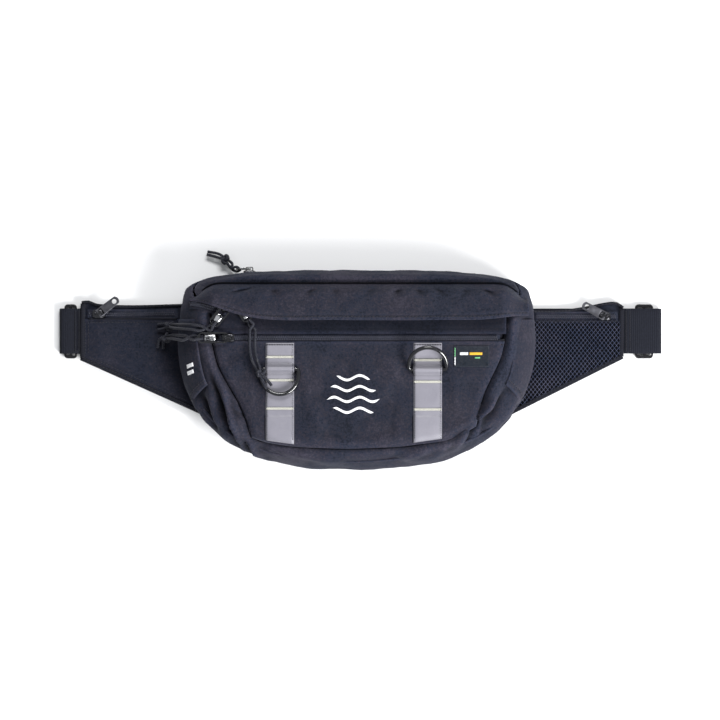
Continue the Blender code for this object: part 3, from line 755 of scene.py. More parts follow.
def gusset_relief(p):
    """How far the cloth stands off the plain shell: welt, valley at the seam, pleats, wrinkles."""
    x, y, z = p
    d = line_distance(x, y, WELT)
    if inside(x, y, WELT):
        return -0.8 - 2.6 * hill(d, 3.4)
    front, top = smooth_step(30.0, 44.0, z), 1 - smooth_step(40, 52, y)
    tab = smooth_step(118, 126, abs(x - BODY_X))
    tab *= smooth_step(-36, -30, y) * (1 - smooth_step(24, 30, y))
    welt = 3.8 * hill(d - 9.0, 7.0) - 4.2 * hill(d, 2.5)
    gathers = 1.5 * ripple(x, 0, 0, 9.5, 71) * hill(d - 3.5, 5.0) * (1 - smooth_step(-20, 0, y))
    total = (welt * (0.25 + 0.75 * top) + gathers) * front
    total += 1.45 * fold_height(x, y) * smooth_step(22, 36, z) * top
    total += (1.1 * ripple(x, y, z, 26, 1) + 0.6 * ripple(x, y, z, 10, 2)) * (1 - 0.75 * tab)
    if y < 0:
        total -= 1.5 * hill(line_distance(x, y, PIPING), 3.0) * smooth_step(12, 20, z)
    if y > 60:
        total += (2.4 * hill(y - 75.0, 3.6) - 3.8 * hill(y - 69.6, 1.9)) * smooth_step(34, 42, z)
    return total


def ring_points(ring, columns, *scale):
    """Points all round a ring."""
    return [ring_point(ring, 2 * math.pi * (c + 0.5) / columns, *scale) for c in range(columns)]


def shell_grid(columns=320, side_rows=34, front_rows=46):
    """Rows of points from the back seam up the sides and in over the front face."""
    last = len(RINGS) - 1
    rows = [ring_points(blended_ring(last * r / side_rows), columns) for r in range(side_rows + 1)]
    for r in range(1, front_rows + 1):
        k = 1 - r / front_rows
        crowned = RINGS[-1][0] + 0.5 * (1 - k * k)
        rows.append(ring_points((crowned, *RINGS[-1][1:]), columns, max(k, 0.004)))
    return rows


def relieved(rows):
    """The grid with its relief applied along each point's outward direction."""
    count = len(rows[0])
    moved = []
    for r, row in enumerate(rows):
        low, high = rows[max(0, r - 1)], rows[min(len(rows) - 1, r + 1)]
        line = []
        for c, p in enumerate(row):
            normal = (row[(c + 1) % count] - row[c - 1]).cross(high[c] - low[c])
            normal = normal.normalized() if normal.length > 1e-9 else Vector((0, 0, 1))
            line.append(p + normal * gusset_relief(p) * smooth_step(0, 3, r))
        moved.append(line)
    return moved




def cut_at_mouth(obj, keep_lid, lift):
    """Keeps the tub's or the lid's side of the slanted mouth plane."""
    with opened(obj) as bm:
        bmesh.ops.bisect_plane(
            bm, geom=bm.verts[:] + bm.edges[:] + bm.faces[:],
            plane_co=(HINGE + MOUTH_NORMAL * lift) * MM, plane_no=MOUTH_NORMAL,
            clear_outer=not keep_lid, clear_inner=keep_lid,
        )




def puffed_rows():
    """The shell's grid, puffed between its seams by cloth simulation, with the pleats on top."""
    plain = shell_grid()
    skin = sheet_mesh("skin", plain, LOOKS["shell"], closed=True)
    pins = []
    for vertex in skin.data.vertices:
        p = vertex.co / MM
        above_mouth = (p - HINGE).dot(MOUTH_NORMAL)
        pins.append(max(
            1.0 if inside(p.x, p.y, WELT) and p.z > 46 else 0.0,
            1 - smooth_step(0, 6, line_distance(p.x, p.y, WELT)) if p.z > 40 else 0.0,
            1 - smooth_step(10.5, 16, p.z),
            1 - smooth_step(1.5, 7, abs(above_mouth)),
            1.0 if p.y < 70 and above_mouth > 0 and p.z > 40 else 0.0,
            0.96 * smooth_step(70, 76, p.y),
        ))
    billow(skin, pins, 0.024, 0.3, 2.6)
    places = iter([vertex.co / MM for vertex in skin.data.vertices])
    bpy.data.objects.remove(skin)
    return [
        [full + (next(places) - bare) for full, bare in zip(*pair)]
        for pair in zip(relieved(plain), plain)
    ]


def build_shell():
    """The tub and the lid, cut from one puffed and wrinkled skin and given the cloth's thickness."""
    rows = puffed_rows()
    for name, lift, body, node, fill in (
        ("tub_cloth", -0.6, "pack", "bag_shell", 0.5), ("lid_cloth", 0.6, "lid", "top_lid", 0.4)
    ):
        obj = sheet_mesh(name, rows, LOOKS["shell"], closed=True)
        cut_at_mouth(obj, body == "lid", lift)
        if body == "pack":
            edge = ring_points(RINGS[0], 118)
            inner = [[BACK_CENTRE.lerp(p, k) for p in edge] for k in (0.995, 0.6, 0.01)]
            obj = join(name, [obj, sheet_mesh("back_wall", inner, LOOKS["shell"], closed=True)])
            with opened(obj) as bm:
                bmesh.ops.remove_doubles(bm, verts=bm.verts, dist=1.2 * MM)
        fix_normals(obj)
        obj.data.materials.append(LOOKS["lining_and_shade"])
        solidify(obj, 1.3).data.shade_smooth()
        keep(obj, body, [node])


def coons(left, right, bottom, across, down):
    """A plan grid between a left and a right curve and a bottom curve, with a level top edge."""
    lefts, rights = (spread(curved(flat(line), 2.0), count=down) for line in (left, right))
    low = spread(curved(flat(bottom), 2.0), count=across)
    (x0, top_y), (x1, _) = left[0], right[0]
    rows = []
    for r in range(down + 1):
        v = r / down
        row = []
        for c in range(across + 1):
            u = c / across
            top = Vector((x0 * (1 - u) + x1 * u, top_y, 0))
            corners = (Vector((x0, top_y, 0)) * (1 - u) + Vector((x1, top_y, 0)) * u) * (1 - v)
            corners += (low[0] * (1 - u) + low[-1] * u) * v
            row.append(lefts[r] * (1 - u) + rights[r] * u + top * (1 - v) + low[c] * v - corners)
        rows.append(row)
    return rows


def under_hardware(x, y):
    """1 where a strap, its ring, the zip or the label needs the panel flat."""
    near = min([abs(x - strap[1]) - 17.0 for strap in STRAPS] + [max(abs(x - 92.0) - 16.0, -2.0 - y)])
    return max(1 - smooth_step(0, 7, near), 1 - smooth_step(0, 8, 16.0 - y))


def build_front_panel():
    placed = []
    for row in coons(PANEL_LEFT, PANEL_RIGHT, PANEL_BOTTOM, 118, 44):
        for p in row:
            free = 1 - under_hardware(p.x, p.y)
            edge = min(1.0, line_distance(p.x, p.y, WELT) / 9.0)
            z = min(PANEL_Z, surface_height(p.x, p.y) + 0.6) + 1.0
            z += free * edge * (0.9 * ripple(p.x, p.y, 0, 34, 3) + 0.35 * ripple(p.x, p.y, 0, 12, 4))
            p.z = z - 2.9 * (1 - min(1.0, edge * 1.6)) ** 2
        placed.append(row)
    panel = sheet_mesh("front_panel_cloth", placed, LOOKS["shell"])
    pins = []
    for vertex in panel.data.vertices:
        p = vertex.co / MM
        edge = 1 - smooth_step(0.5, 5, line_distance(p.x, p.y, WELT))
        pins.append(max(edge, under_hardware(p.x, p.y), smooth_step(14, 17, p.y)))
    billow(panel, pins, 0.02, 0.0, 1.3)
    keep(solidify(panel, 1.2), nodes=["front_pocket_panel"])
    hem = [p + Vector((0, 0, 0.25)) for p in placed[0][::2]]
    keep(sweep("pocket_lip", hem, rounded_section(3.2, 1.1), LOOKS["binding"]))
    seam = [Vector((p.x, p.y - 3.0, PANEL_Z + 1.05)) for p in placed[0]]
    keep(stitches("pocket_lip_stitch", seam))


# ---------------------------------------------------------------- band, zips and flap




def teeth(name, path, reach, up=(0, 0, 1)):
    """A closed nylon coil: interlocked rounded loops either side of a centre line."""
    pitch, height = 1.5, 1.2
    verts, faces = [], []
    points = spread(path, pitch / 2)
    for i, (a, b) in enumerate(zip(points, points[1:])):
        hand = 1 if i % 2 else -1
        along = (b - a).normalized()
        side = along.cross(Vector(up)).normalized() * hand
        lift = side.cross(along) * hand
        faces += tube_faces(4, 4, base=len(verts))
        for out, top, half in (
            (-0.35, 0.15, 0.5), (0.1, 0.75, 0.62), (reach * 0.6, 0.95, 0.6), (reach, 0.2, 0.4)
        ):
            rise, narrow = top * height, half * 0.7
            for s, t in ((-half, -0.1), (half, -0.1), (narrow, rise), (-narrow, rise)):
                verts.append((a + b) / 2 + side * out + along * s + lift * t)
    return fix_normals(add_mesh(name, verts, faces, LOOKS["coil"]))


def build_band():
    """The cloth strip between the flap and the front zip, its lower edge folded and stitched."""
    rows = []
    for r in range(15):
        y = 47.0 - 18.6 * r / 14
        fold = 51.25 + 0.35 * hill(y - 29.6, 1.8) - 0.35 * hill(y - 32.8, 0.8)
        row = []
        for c in range(123):
            x = -123.4 + 244.6 * c / 122
            wrinkle = 0.28 * ripple(x, y, 0, 20, 7) * smooth_step(33, 37, y)
            row.append(Vector((x, y + 0.35 * ripple(x, 0, 0, 40, 8), fold + wrinkle)))
        rows.append(row)
    # The band's darker colour is painted shadow from the flap above it.
    keep(solidify(sheet_mesh("upper_band", rows, LOOKS["band"]), 0.9))
    for y, tag in ((32.8, "upper"), (29.9, "lower")):
        seam = straight((-122.6, y, 51.35), (119.4, y, 51.35), 121)
        keep(stitches(f"band_stitch_{tag}", seam, 3.1, 2.2, 0.3))


def build_zips():
    for name, start, end, up, node, reach in (
        ("front_zip", (-117, 25.2, 51.5), (114, 25.2, 51.5), (0, 0, 1), "front_zip_coil", 2.2),
        ("main_zip", (-119, 50.2, 51.5), (112, 50.2, 51.5), (0, 0, 1), "main_zip_coil", 2.2),
        ("rear_zip", (-105, 78.2, 14.4), (96, 78.2, 14.4), (0, 1, 0), "rear_zip_coil", 2.0),
        ("wing_zip_left", (-228, 45.2, 6), (-156, 45.2, 6), (0, 0, 1), "wing_left_zip_coil", 1.9),
        ("wing_zip_right", (148, 43.5, 6), (214, 43.5, 6), (0, 0, 1), "wing_right_zip_coil", 1.9),
    ):
        keep(teeth(f"{name}_teeth", [start, end], reach, up), nodes=[node])
    bend = [(-116.5, 49.8), (-121, 49.4), (-126, 50.6), (-131.5, 52.2), (-137, 53.4), (-142, 53.6)]
    path = curved([(x, y, surface_height(x, y) + 2.6) for x, y in bend], 1.5)
    under = [p - Vector((0, 0, 0.7)) for p in path]
    tape = sweep("main_zip_tape_end", under, rounded_section(9.0, 0.9), LOOKS["tape"])
    keep(tape)
    keep(teeth("main_zip_teeth_end", path, 2.2))
    for y, tag in ((20.8, "21"), (30.0, "30")):
        seam = straight((-117, y, 51.15), (113, y, 51.15), 115)
        keep(stitches(f"front_zip_tape_stitch_{tag}", seam, 2.8, 2.0, 0.22, 0.0))


def flap_edge(x):
    """Y of the flap's free hem."""
    return 40.6 + 16 * hill(x + 143, 38) + 4 * hill(140 - x, 30)


def flap_drop(x):
    """How far the flap's ends bend down over the shoulders."""
    return 13.0 * smooth_step(0, 1, (abs(x + 1.5) - 119) / 22)


# Puckers just under the flap's fold: place across it, depth, lean.
DENTS = [
    (-98, 3.6, 60), (-72, 2.8, 0), (-41, 3.2, 20), (-21, 2.2, 0), (8, 1.8, 14), (31, 3.6, 10),
    (49, 3.0, -16), (66, 2.6, -20), (88, 2.2, 10), (106, 4.4, -30),
]


def flap_rows(columns=230, lines=34):
    """Rows from the flap's sewn edge over its fold and down to the free hem."""
    sewn = 69.8
    grid = []
    for c in range(columns + 1):
        x = -143 + 283 * c / columns
        edge = flap_edge(x)
        knots = [(sewn, 46.9), (67.6, 51.0), (65.0, 55.0), (61.4, 57.9)]
        knots += [(60.4 + (edge - 60.4) * k / 4, 58.0 + 1.6 * math.sin(k * 0.55)) for k in range(1, 5)]
        narrow = 13.0 * smooth_step(110, 142, abs(x + 1.5)) ** 2
        knots = [(x, y - narrow * max(0.0, (y - edge) / (sewn - edge)), z) for y, z in knots]
        column = []
        for r, p in enumerate(spread(curved(knots, 1.0), count=lines)):
            v = r / lines
            free = smooth_step(0.05, 0.3, v)
            z = p.z - flap_drop(x) - 0.5 * hill(v - 0.93, 0.025)
            z += free * (1.1 * ripple(x, 0.6 * p.y, 0, 22, 11) + 0.45 * ripple(x, p.y, 0, 9, 12))
            z -= hill(v - 0.3, 0.12) * 1.7 * max(0.0, ripple(x, 0, 0, 21, 13))
            for at, depth, lean in DENTS:
                z -= depth * hill(x + lean * (v - 0.33) - at, 4.2) * hill(v - 0.34, 0.1)
            column.append(Vector((x, p.y + free * 0.8 * ripple(x, 0, 0, 46, 14), z)))
        grid.append(column)
    return list(zip(*grid))


def build_flap():
    rows = flap_rows()
    flap = sheet_mesh("storm_flap_cloth", rows, LOOKS["shell"])
    flap.data.materials.append(LOOKS["lining_and_shade"])
    fix_normals(flap)
    solidify(flap, 1.3, 0).data.shade_smooth()
    keep(flap, "flap", ["storm_flap"])
    # A near-black strip along the flap's sewn edge: painted shadow in the fold under the lid's roll.
    tape = [p + Vector((0, 0.5, 0.9 + 0.4 * ripple(p.x, 0, 0, 15, 15))) for p in rows[0][4:-4:2]]
    tape = sweep("storm_flap_fold_shadow_tape", tape, rounded_section(2.6, 1.2), LOOKS["lining_and_shade"])
    keep(tape, "lid")
    seam = [p + Vector((0, 0, 0.62)) for p in rows[round(0.93 * (len(rows) - 1))]]
    keep(stitches("storm_flap_stitch", seam, 3.0, 2.2, 0.32), "flap")
    edge = sweep("storm_flap_edge", rows[-1][::2], rounded_section(2.0, 1.7), LOOKS["shell"])
    keep(edge, "flap")


# ---------------------------------------------------------------- side tabs, welt and gusset seam


def side_point(side, at, y, lift):
    """A point on the shell's left or right side at a fractional ring and a given Y, moved outward."""
    ring = blended_ring(at)
    s = min(0.999, max(0.0, (WIDEST_Y - y) / (WIDEST_Y - ring[3]))) ** (BOTTOM_POWER / 2)
    turn = -math.asin(s) if side > 0 else math.pi + math.asin(s)
    here = ring_point(ring, turn)
    along = ring_point(ring, turn + 0.01) - ring_point(ring, turn - 0.01)
    up = ring_point(blended_ring(min(at + 0.05, 6.99)), turn) - here
    normal = along.cross(up).normalized()
    return here + (normal if normal.x * side > 0 else -normal) * lift


def build_side_tabs():
    for side, name in ((-1, "left"), (1, "right")):
        rows, seam = [], []
        for r in range(25):
            at, low = 3.0 + 3.1 * r / 24, -31.0 + 17.0 * r / 24
            row = []
            for c in range(45):
                u = c / 44
                y = 43.0 + (low - 43.0) * u
                lift = 0.1 + 1.5 * smooth_step(0, 0.35, u) + 0.5 * ripple(y, at * 7, side * 9, 14, 21)
                row.append(side_point(side, at, y, lift - 0.9 * max(0, 1 - (1 - u) * 12)))
            rows.append(row)
            seam.append(side_point(side, at, low + 4.6, 2.3))
        tab = fix_normals(sheet_mesh(f"side_tab_{name}_cloth", rows, LOOKS["shell"]))
        keep(solidify(tab, 1.2, 0), nodes=[f"side_tab_{name}"])
        keep(stitches(f"side_tab_{name}_stitch_low", seam, 2.8, 2.0, 0.32))


def build_seams():
    """A near-black cord sunk in the valley round the front panel as painted shade, and the piping round the
    lower gusset.
    """
    welt = flat([(-124, 45), *PANEL_EDGE, (121.5, 36), (121.8, 46)])
    for name, line, lift, section, look in (
        # The near-black cord in the panel's edge valley is painted shade, standing for the deep shadow there.
        ("panel_seam_shade_cord", welt, -2.0, (2.8, 1.8), "lining_and_shade"),
        ("lower_seam_piping", PIPING, 0.5, (3.0, 2.6), "shell"),
    ):
        path = curved(line, 3.0)
        for p in path:
            p.z = surface_height(p.x, p.y) + lift
        keep(sweep(name, path, rounded_section(*section), LOOKS[look]))
    above = [p + Vector((0, 3.6, 1.0)) for p in path]
    keep(stitches("lower_seam_stitch", above, 3.0, 2.1, 0.3))


# ---------------------------------------------------------------- straps, label and print


def strap_wave(x, y):
    return 0.3 * ripple(x, y, 0, 19, 31)


def strap_rows(x, top, ring_y, lift, width):
    """Rows across a flat strap from its low end, over the ring's bar, to its top."""
    rows = []
    base, steps = 52.35, 92
    for r in range(steps + 1):
        row = []
        for c in range(11):
            s = (c / 10 - 0.5) * width
            low = line_y(PANEL_BOTTOM, x + s) + 0.9
            y = low + (top - low) * r / steps
            rise = 4.7 * math.exp(-(((y - ring_y) / 2.6) ** 4)) + strap_wave(x, y)
            if y < -40:
                rise = front_height(x + s, y) + 0.55 - base + rise * smooth_step(-44, -40, y)
            edge = 0.18 * ripple(x + s, y, 0, 7, 32) - 0.35 * (2 * s / width) ** 6
            row.append(Vector((x + s, y, base + rise + lift + edge)))
        rows.append(row)
    return rows


def bartack(name, x, y, z, width):
    """A dense zigzag of cream thread across a strap."""
    path = straight((x - width / 2, y, z), (x + width / 2, y, z), 20)
    parts = [
        stitches(f"{name}_{k}", path, 0.8, 2.5, 0.42, 0.05 + 0.1 * k, lean, "tack")
        for k, lean in enumerate((1.08, -1.08))
    ]
    return keep(join(name, parts))


def build_straps():
    for side, x, ring_y, tacks in STRAPS:
        base = strap_rows(x, 21.4, ring_y, 0.0, 25.2)
        base = sheet_mesh(f"strap_{side}_base", base, LOOKS["binding"])
        keep(solidify(base, 0.7))
        face = strap_rows(x, 21.0, ring_y, 0.65, 23.6)
        face = sheet_mesh(f"strap_{side}_reflective", face, LOOKS["reflective"])
        keep(solidify(face, 0.5), nodes=[f"strap_{side}"])
        for k, y in enumerate(tacks):
            bartack(f"strap_{side}_bartack_{k}", x, y, 53.15 + strap_wave(x, y), 22.4)
        middle = [row[5] for row in strap_rows(x, 20.0, ring_y, 0.65, 23.6)[2:]]
        for tag, across in (("l", -10.9), ("r", 10.9)):
            line = [p + Vector((across, 0, 0.62)) for p in middle]
            keep(stitches(f"strap_{side}_edge_{tag}", line, 1.9, 1.5, 0.2, 0.02))
        z = 53.25 + strap_wave(x, 19.4)
        top = straight((x - 11.6, 19.4, z), (x + 11.6, 19.4, z), 20)
        keep(stitches(f"strap_{side}_stitch_top", top, 2.2, 1.8, 0.36, 0.05))


def patch(name, x0, x1, y0, y1, z, look, thickness, nodes=()):
    """A thin sewn or printed patch that follows the cloth under it."""
    columns, lines = max(2, round(x1 - x0)), max(2, round(y1 - y0))
    ys = [y0 + (y1 - y0) * r / lines for r in range(lines + 1)]
    rows = [straight((x0, y, z), (x1, y, z), columns) for y in ys]
    for row in rows:
        for p in row:
            p.z += 0.25 * ripple(p.x, p.y, 0, 16, 33)
    keep(solidify(sheet_mesh(name, rows, LOOKS[look]), thickness), nodes=nodes)


def build_label():
    patch("side_label", 77.6, 107.0, 0.8, 18.6, 52.95, "label", 0.55, ["woven_label"])
    path = spread(flat([(78.2, 1.4), (106.4, 1.4), (106.4, 18.0), (78.2, 18.0), (78.2, 1.4)]), 2.0)
    for p in path:
        p.z = 53.1 + 0.25 * ripple(p.x, p.y, 0, 16, 33)
    keep(stitches("side_label_stitch", path, 2.2, 1.6, 0.22, 0.0))
    for name, x0, x1, y0, y1, look in (
        ("bar_white", 78.0, 78.9, 2.4, 9.4, "print"),
        ("bar_green", 78.0, 78.9, 9.8, 17.0, "green"),
        ("mark_white", 82.6, 89.4, 10.9, 13.1, "print"),
        ("mark_amber", 90.6, 101.2, 10.9, 13.1, "amber"),
        ("mark_green", 95.0, 99.4, 8.0, 9.2, "green"),
    ):
        patch(f"side_label_{name}", x0, x1, y0, y1, 53.12, look, 0.2)


# ---------------------------------------------------------------- metal and plastic


def bevelled(node, look, width):
    """Keeps a CAD node's shape, breaks its sharp edges and gives it its finish."""
    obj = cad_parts[node]
    obj.modifiers.new("weld", "WELD").merge_threshold = 0.02 * MM
    bevel = obj.modifiers.new("broken edges", "BEVEL")
    bevel.width = width * MM
    bevel.segments = 3
    bevel.limit_method = "ANGLE"
    bevel.angle_limit = math.radians(35)
    paint(node, look)


def paint(node, look):
    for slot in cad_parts[node].material_slots:
        slot.material = LOOKS[look]




def build_inserts():
    """Bright domed inserts set in the loop pulls' bridges."""
    for name, (pin, heading, tilt, length, on_wall, _, _) in CORDS.items():
        place = pull_place(pin, heading, tilt, on_wall)
        rows = []
        for r in range(13):
            u = r / 12
            bulge = (1 - (2 * u - 1) ** 6) ** 0.5
            row = []
            for c in range(11):
                v = c / 5 - 1
                lift = 0.66 + 0.55 * max(0.0, 1 - v * v) ** 0.5 * bulge
                row.append(place @ Vector((length * (0.4 + 0.4 * u), (2.5 * bulge + 0.05) * v, lift)))
            rows.append(row)
        insert = sheet_mesh(f"pull_{name}_insert", rows, LOOKS["chrome_painted_glints"])
        keep(solidify(insert, 0.2, 0), f"tug_{name}")


def build_rings():
    """D-rings of round bar, drawn along the same route as their CAD nodes."""
    half, depth, shoulder = 15.6, 21.5, 5.0
    outline = [(-half + 2.5 * k, 0.0) for k in range(1, 12)] + [(half - 0.5, 0.8), (half, 2.6)]
    for t in (math.pi * k / 32 for k in range(33)):
        outline.append((half * math.cos(t), shoulder + (depth - shoulder) * math.sin(t)))
    outline += [(-half, 2.6), (-half + 0.5, 0.8)]
    for (side, x, y, _), sign, tilt in zip(STRAPS, (-1, 1), (6.0, 30.0)):
        rise, run = math.sin(math.radians(tilt)), math.cos(math.radians(tilt))
        points = [(x + px, y + sign * py * run, 54.4 + py * rise) for px, py in outline]
        ring = sweep(f"d_ring_{side}_bar", points, circle(1.7, 14), LOOKS["metal"], looped=True)
        keep(ring, f"ring_{side}", [f"d_ring_{side}"])


def build_hardware():
    for name in ("main_left", "main_right", "front", "rear", "wing_left", "wing_right"):
        bevelled(f"slider_{name}", "gunmetal", 0.35)
        bevelled(f"pull_{name}", "tab" if name.startswith("wing") else "metal", 0.32)
    for name in ("housing", "stem", "arm_upper", "arm_lower"):
        bevelled(f"buckle_{name}", "plastic", 0.45)
    for side in ("left", "right"):
        bevelled(f"triglide_{side}", "plastic", 0.45)
    for name in ("front", "main", "rear", "wing_left", "wing_right"):
        paint(f"{name}_zip_tape", "tape")


# ---------------------------------------------------------------- pull cords

# Each pull with its cord: the pull's pin, heading, tilt and length, whether it hangs on the top wall,
# then the route of its cord and the place of the knot.
CORDS = {
    "main_left": ((-111.0, 50.2, 51.4), 230.0, 6.0, 19.0, False, [
        (-133, 33, 54), (-139.5, 34, 52.6), (-147.4, 34.4, 46.2), (-153.4, 34.8, 36), (-157, 35.2, 25),
        (-160.4, 35.2, 16), (-164.6, 35, 11.8), (-170, 34.4, 10.8),
    ], (-159.6, 35.2, 18.4)),
    "front": ((-110.0, 25.2, 51.4), 180.0, 4.4, 25.0, False, [
        (-146, 25, 50.4), (-151.4, 25.6, 44), (-155.2, 26, 35.4), (-158.4, 26, 26.4), (-162.6, 25.2, 17.6),
        (-166.8, 22.6, 12.4), (-167.6, 16.4, 10.6),
    ], (-162.6, 25.2, 17.6)),
    "main_right": ((-99.6, 50.2, 51.4), 302.0, 4.0, 13.0, False, [
        (-89.6, 32, 56.4), (-89.8, 25, 56.8), (-89.8, 17, 56.8), (-88.4, 8, 57.8), (-85.6, 1, 60.2),
        (-82.4, -5.6, 61.6), (-78.4, -12, 62), (-75.6, -16, 61.8),
    ], (-83.2, -4.0, 61.4)),
    "rear": ((-93.0, 78.3, 14.4), 150.0, 0.0, 12.0, True, [
        (-108.8, 86.4, 6.6), (-113.4, 91, 6.4), (-119.8, 94.4, 5.2), (-128.6, 96.4, 4.0),
    ], (-113.4, 91.0, 6.4)),
}
STRAND = 2.4


def pull_place(pin, heading, tilt, on_wall):
    """The pull's own frame: X along it from the slider's bail, Y across it, Z off its face."""
    base = Matrix.Translation(pin)
    if on_wall:
        base = base @ Matrix.Rotation(math.radians(-90), 4, "X")
    turn = Matrix.Rotation(math.radians(heading), 4, "Z") @ Matrix.Rotation(math.radians(tilt), 4, "Y")
    return base @ Matrix.Translation((0, 0, PIN_HEIGHT)) @ turn


# The draped cords whose sliders travel onto the front face: the joint, and the height at which they lie.
LIFTED = {"main_left": ("main_left_slide", 57.5), "front": ("front_slide", 58.4)}


def lay_flat(obj, name):
    """Gives a draped cord whose slider travels onto the front face a mesh of its own."""
    if name in LIFTED:
        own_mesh(obj)


def strand(name, route):
    """One braided strand as a tube along a smooth route."""
    data = bpy.data.curves.new(name, "CURVE")
    data.dimensions = "3D"
    data.bevel_depth = STRAND / 2 * MM
    data.bevel_resolution = 4
    data.use_fill_caps = True
    spline = data.splines.new("POLY")
    spline.points.add(len(route) - 1)
    for point, place in zip(spline.points, route):
        point.co = (*(place * MM), 1)
    spline.use_smooth = True
    data.materials.append(LOOKS["braid"])
    curve = linked("route", data)
    drawn = curve.evaluated_get(bpy.context.evaluated_depsgraph_get())
    obj = linked(name, bpy.data.meshes.new_from_object(drawn))
    bpy.data.objects.remove(curve)
    return obj


def knot(name, centre, along):
    """An overhand knot drawn tight: a thick trefoil wrapped round the cord's direction."""
    turn = Vector((0, 0, 1)).rotation_difference(along.normalized()).to_matrix()
    size = 1.404
    points = []
    for k in range(72):
        t = 2 * math.pi * k / 72
        x = math.sin(t) + 1.55 * math.sin(2 * t)
        y = math.cos(t) - 1.55 * math.cos(2 * t)
        points.append(centre + turn @ (Vector((x, y, -1.25 * math.sin(3 * t))) * size))
    return sweep(name, points, circle(1.3, 10), LOOKS["braid"], up=(0.31, 0.47, 0.82), looped=True)


def build_cords():
    for name, (pin, heading, tilt, length, on_wall, route, centre) in CORDS.items():
        place = pull_place(pin, heading, tilt, on_wall)
        centre = Vector(centre)
        spots = [Vector(p) for p in route]
        last = len(spots) - 1
        nearest = min(range(last + 1), key=lambda i: (spots[i] - centre).length)
        ahead = [spots[min(last, i + 1)] - spots[max(0, i - 1)] for i in range(last + 1)]
        tied = keep(knot(f"{name}_cord_knot", centre, ahead[nearest]), f"tug_{name}")
        lay_flat(tied, name)
        for tag, sign in (("a", 1), ("b", -1)):
            eye = length * 0.89 - 1.25
            loop = [(eye, 0.9, 0.4), (length + 0.4, 1.1, 1.9), (length + 4.5, 1.7, 0.9)]
            points = [place @ Vector((x, y * sign, z * sign)) for x, y, z in loop]
            for i, p in enumerate(spots):
                side = ahead[i].normalized().cross(Vector((0, 0.35, 1))).normalized()
                near = hill((p - centre).length, 6.0)
                gone = smooth_step(nearest, last, i)
                out = (2.1 * (1 - near) + 0.9 * near) * (1 - gone) + (1.3 if on_wall else 2.4) * gone
                points.append(p + side * out * sign)
            followed = curved(points, 1.5)
            obj = keep(strand(f"{name}_cord_{tag}", followed), f"tug_{name}")
            if tag == "a":
                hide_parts(f"cord_{name}")
            lay_flat(obj, name)


def build_prints():
    """Plain wave stripes on the front panel and two short bars on the left side tab."""
    for k, (y, reach) in enumerate(((-8.0, 14.0), (-17.0, 19.0), (-26.0, 22.0), (-35.0, 17.0))):
        rows = []
        for edge in (1.1, 0.4, -0.4, -1.1):
            row = []
            for i in range(81):
                u = i / 40 - 1
                x = -6.0 + reach * u
                middle = y + 1.9 * math.sin((x + 6) / 3.4)
                taper = min(1.0, (1 - abs(u)) * 6)
                row.append(Vector((x, middle + edge * taper, front_height(x, middle) + 0.16)))
            rows.append(row)
        stripe = sheet_mesh(f"front_print_{k}", rows, LOOKS["print"])
        keep(solidify(stripe, 0.12))
    for k, y in enumerate((-4.2, 1.4)):
        rows = []
        for r in range(7):
            at = 4.55 + 0.125 * r + 0.12 * k
            rows.append([side_point(-1, at, y + 3.0 * (c / 8 - 0.5) + r * 0.35, 2.55) for c in range(9)])
        mark = sheet_mesh(f"side_print_{k}", rows, LOOKS["print"])
        keep(solidify(mark, 0.2, 0))


@functools.cache
def front_tree():
    mesh = bpy.data.objects["front_panel_cloth"].data
    corners = [v.co / MM for v in mesh.vertices]
    return BVHTree.FromPolygons(corners, [tuple(p.vertices) for p in mesh.polygons])


def front_height(x, y):
    """Height of the finished front panel's cloth under a plan position."""
    place = front_tree().ray_cast(Vector((x, y, 90)), Vector((0, 0, -1)))[0]
    return place.z if place else 51.6


# ---------------------------------------------------------------- wings

LEFT_TOP = [(-234.0, 54.8), (-228.0, 55.4), (-219.0, 52.4), (-190.0, 51.4), (-146.6, 52.6)]
LEFT_ROOT = [(-146.6, 52.6), (-146.4, 25.0), (-143.6, 2.0), (-138.4, -16.0), (-129.4, -34.0)]
LEFT_LOW = [(-234.6, 7.4), (-132.6, -38.4), (-129.4, -34.0)]
RIGHT_TOP = [(139.8, 47.6), (166.0, 47.6), (185.0, 49.6), (204.0, 53.4), (214.0, 54.2), (220.4, 50.4)]
RIGHT_ROOT = [(122.6, -34.0), (131.6, -16.0), (136.8, 2.0), (139.6, 25.0), (139.8, 47.6)]
RIGHT_LOW = [(122.6, -34.0), (126.0, -38.4), (219.8, 8.6)]


def line_y(line, x):
    """A polyline's Y at a given X."""
    points = sorted(line)
    for (x0, y0), (x1, y1) in zip(points, points[1:]):
        if x <= x1:
            return y0 + (y1 - y0) * max(0.0, (x - x0) / max(1e-6, x1 - x0))
    return points[-1][1]


def wing_grid(side, ceiling, inset, columns=90, lines=44):
    """Plan points over a wing between its lower edge and its top edge or a level ceiling."""
    top, root, low = (LEFT_TOP, LEFT_ROOT, LEFT_LOW) if side < 0 else (RIGHT_TOP, RIGHT_ROOT, RIGHT_LOW)
    tip, inner, seam = (-234.3, -129.8, -146.6) if side < 0 else (220.0, 123.0, 139.8)
    rows = []
    for c in range(columns + 1):
        x = tip - side * inset + (inner - tip + side * inset) * c / columns
        under_body = (x - seam) * side < 0
        high = min(line_y(root if under_body else top, x), ceiling)
        high -= 0.0 if under_body else inset * 0.3
        base = line_y(low, x) + inset
        rows.append([(x, base + (max(high, base + 0.4) - base) * r / lines) for r in range(lines + 1)])
    return rows


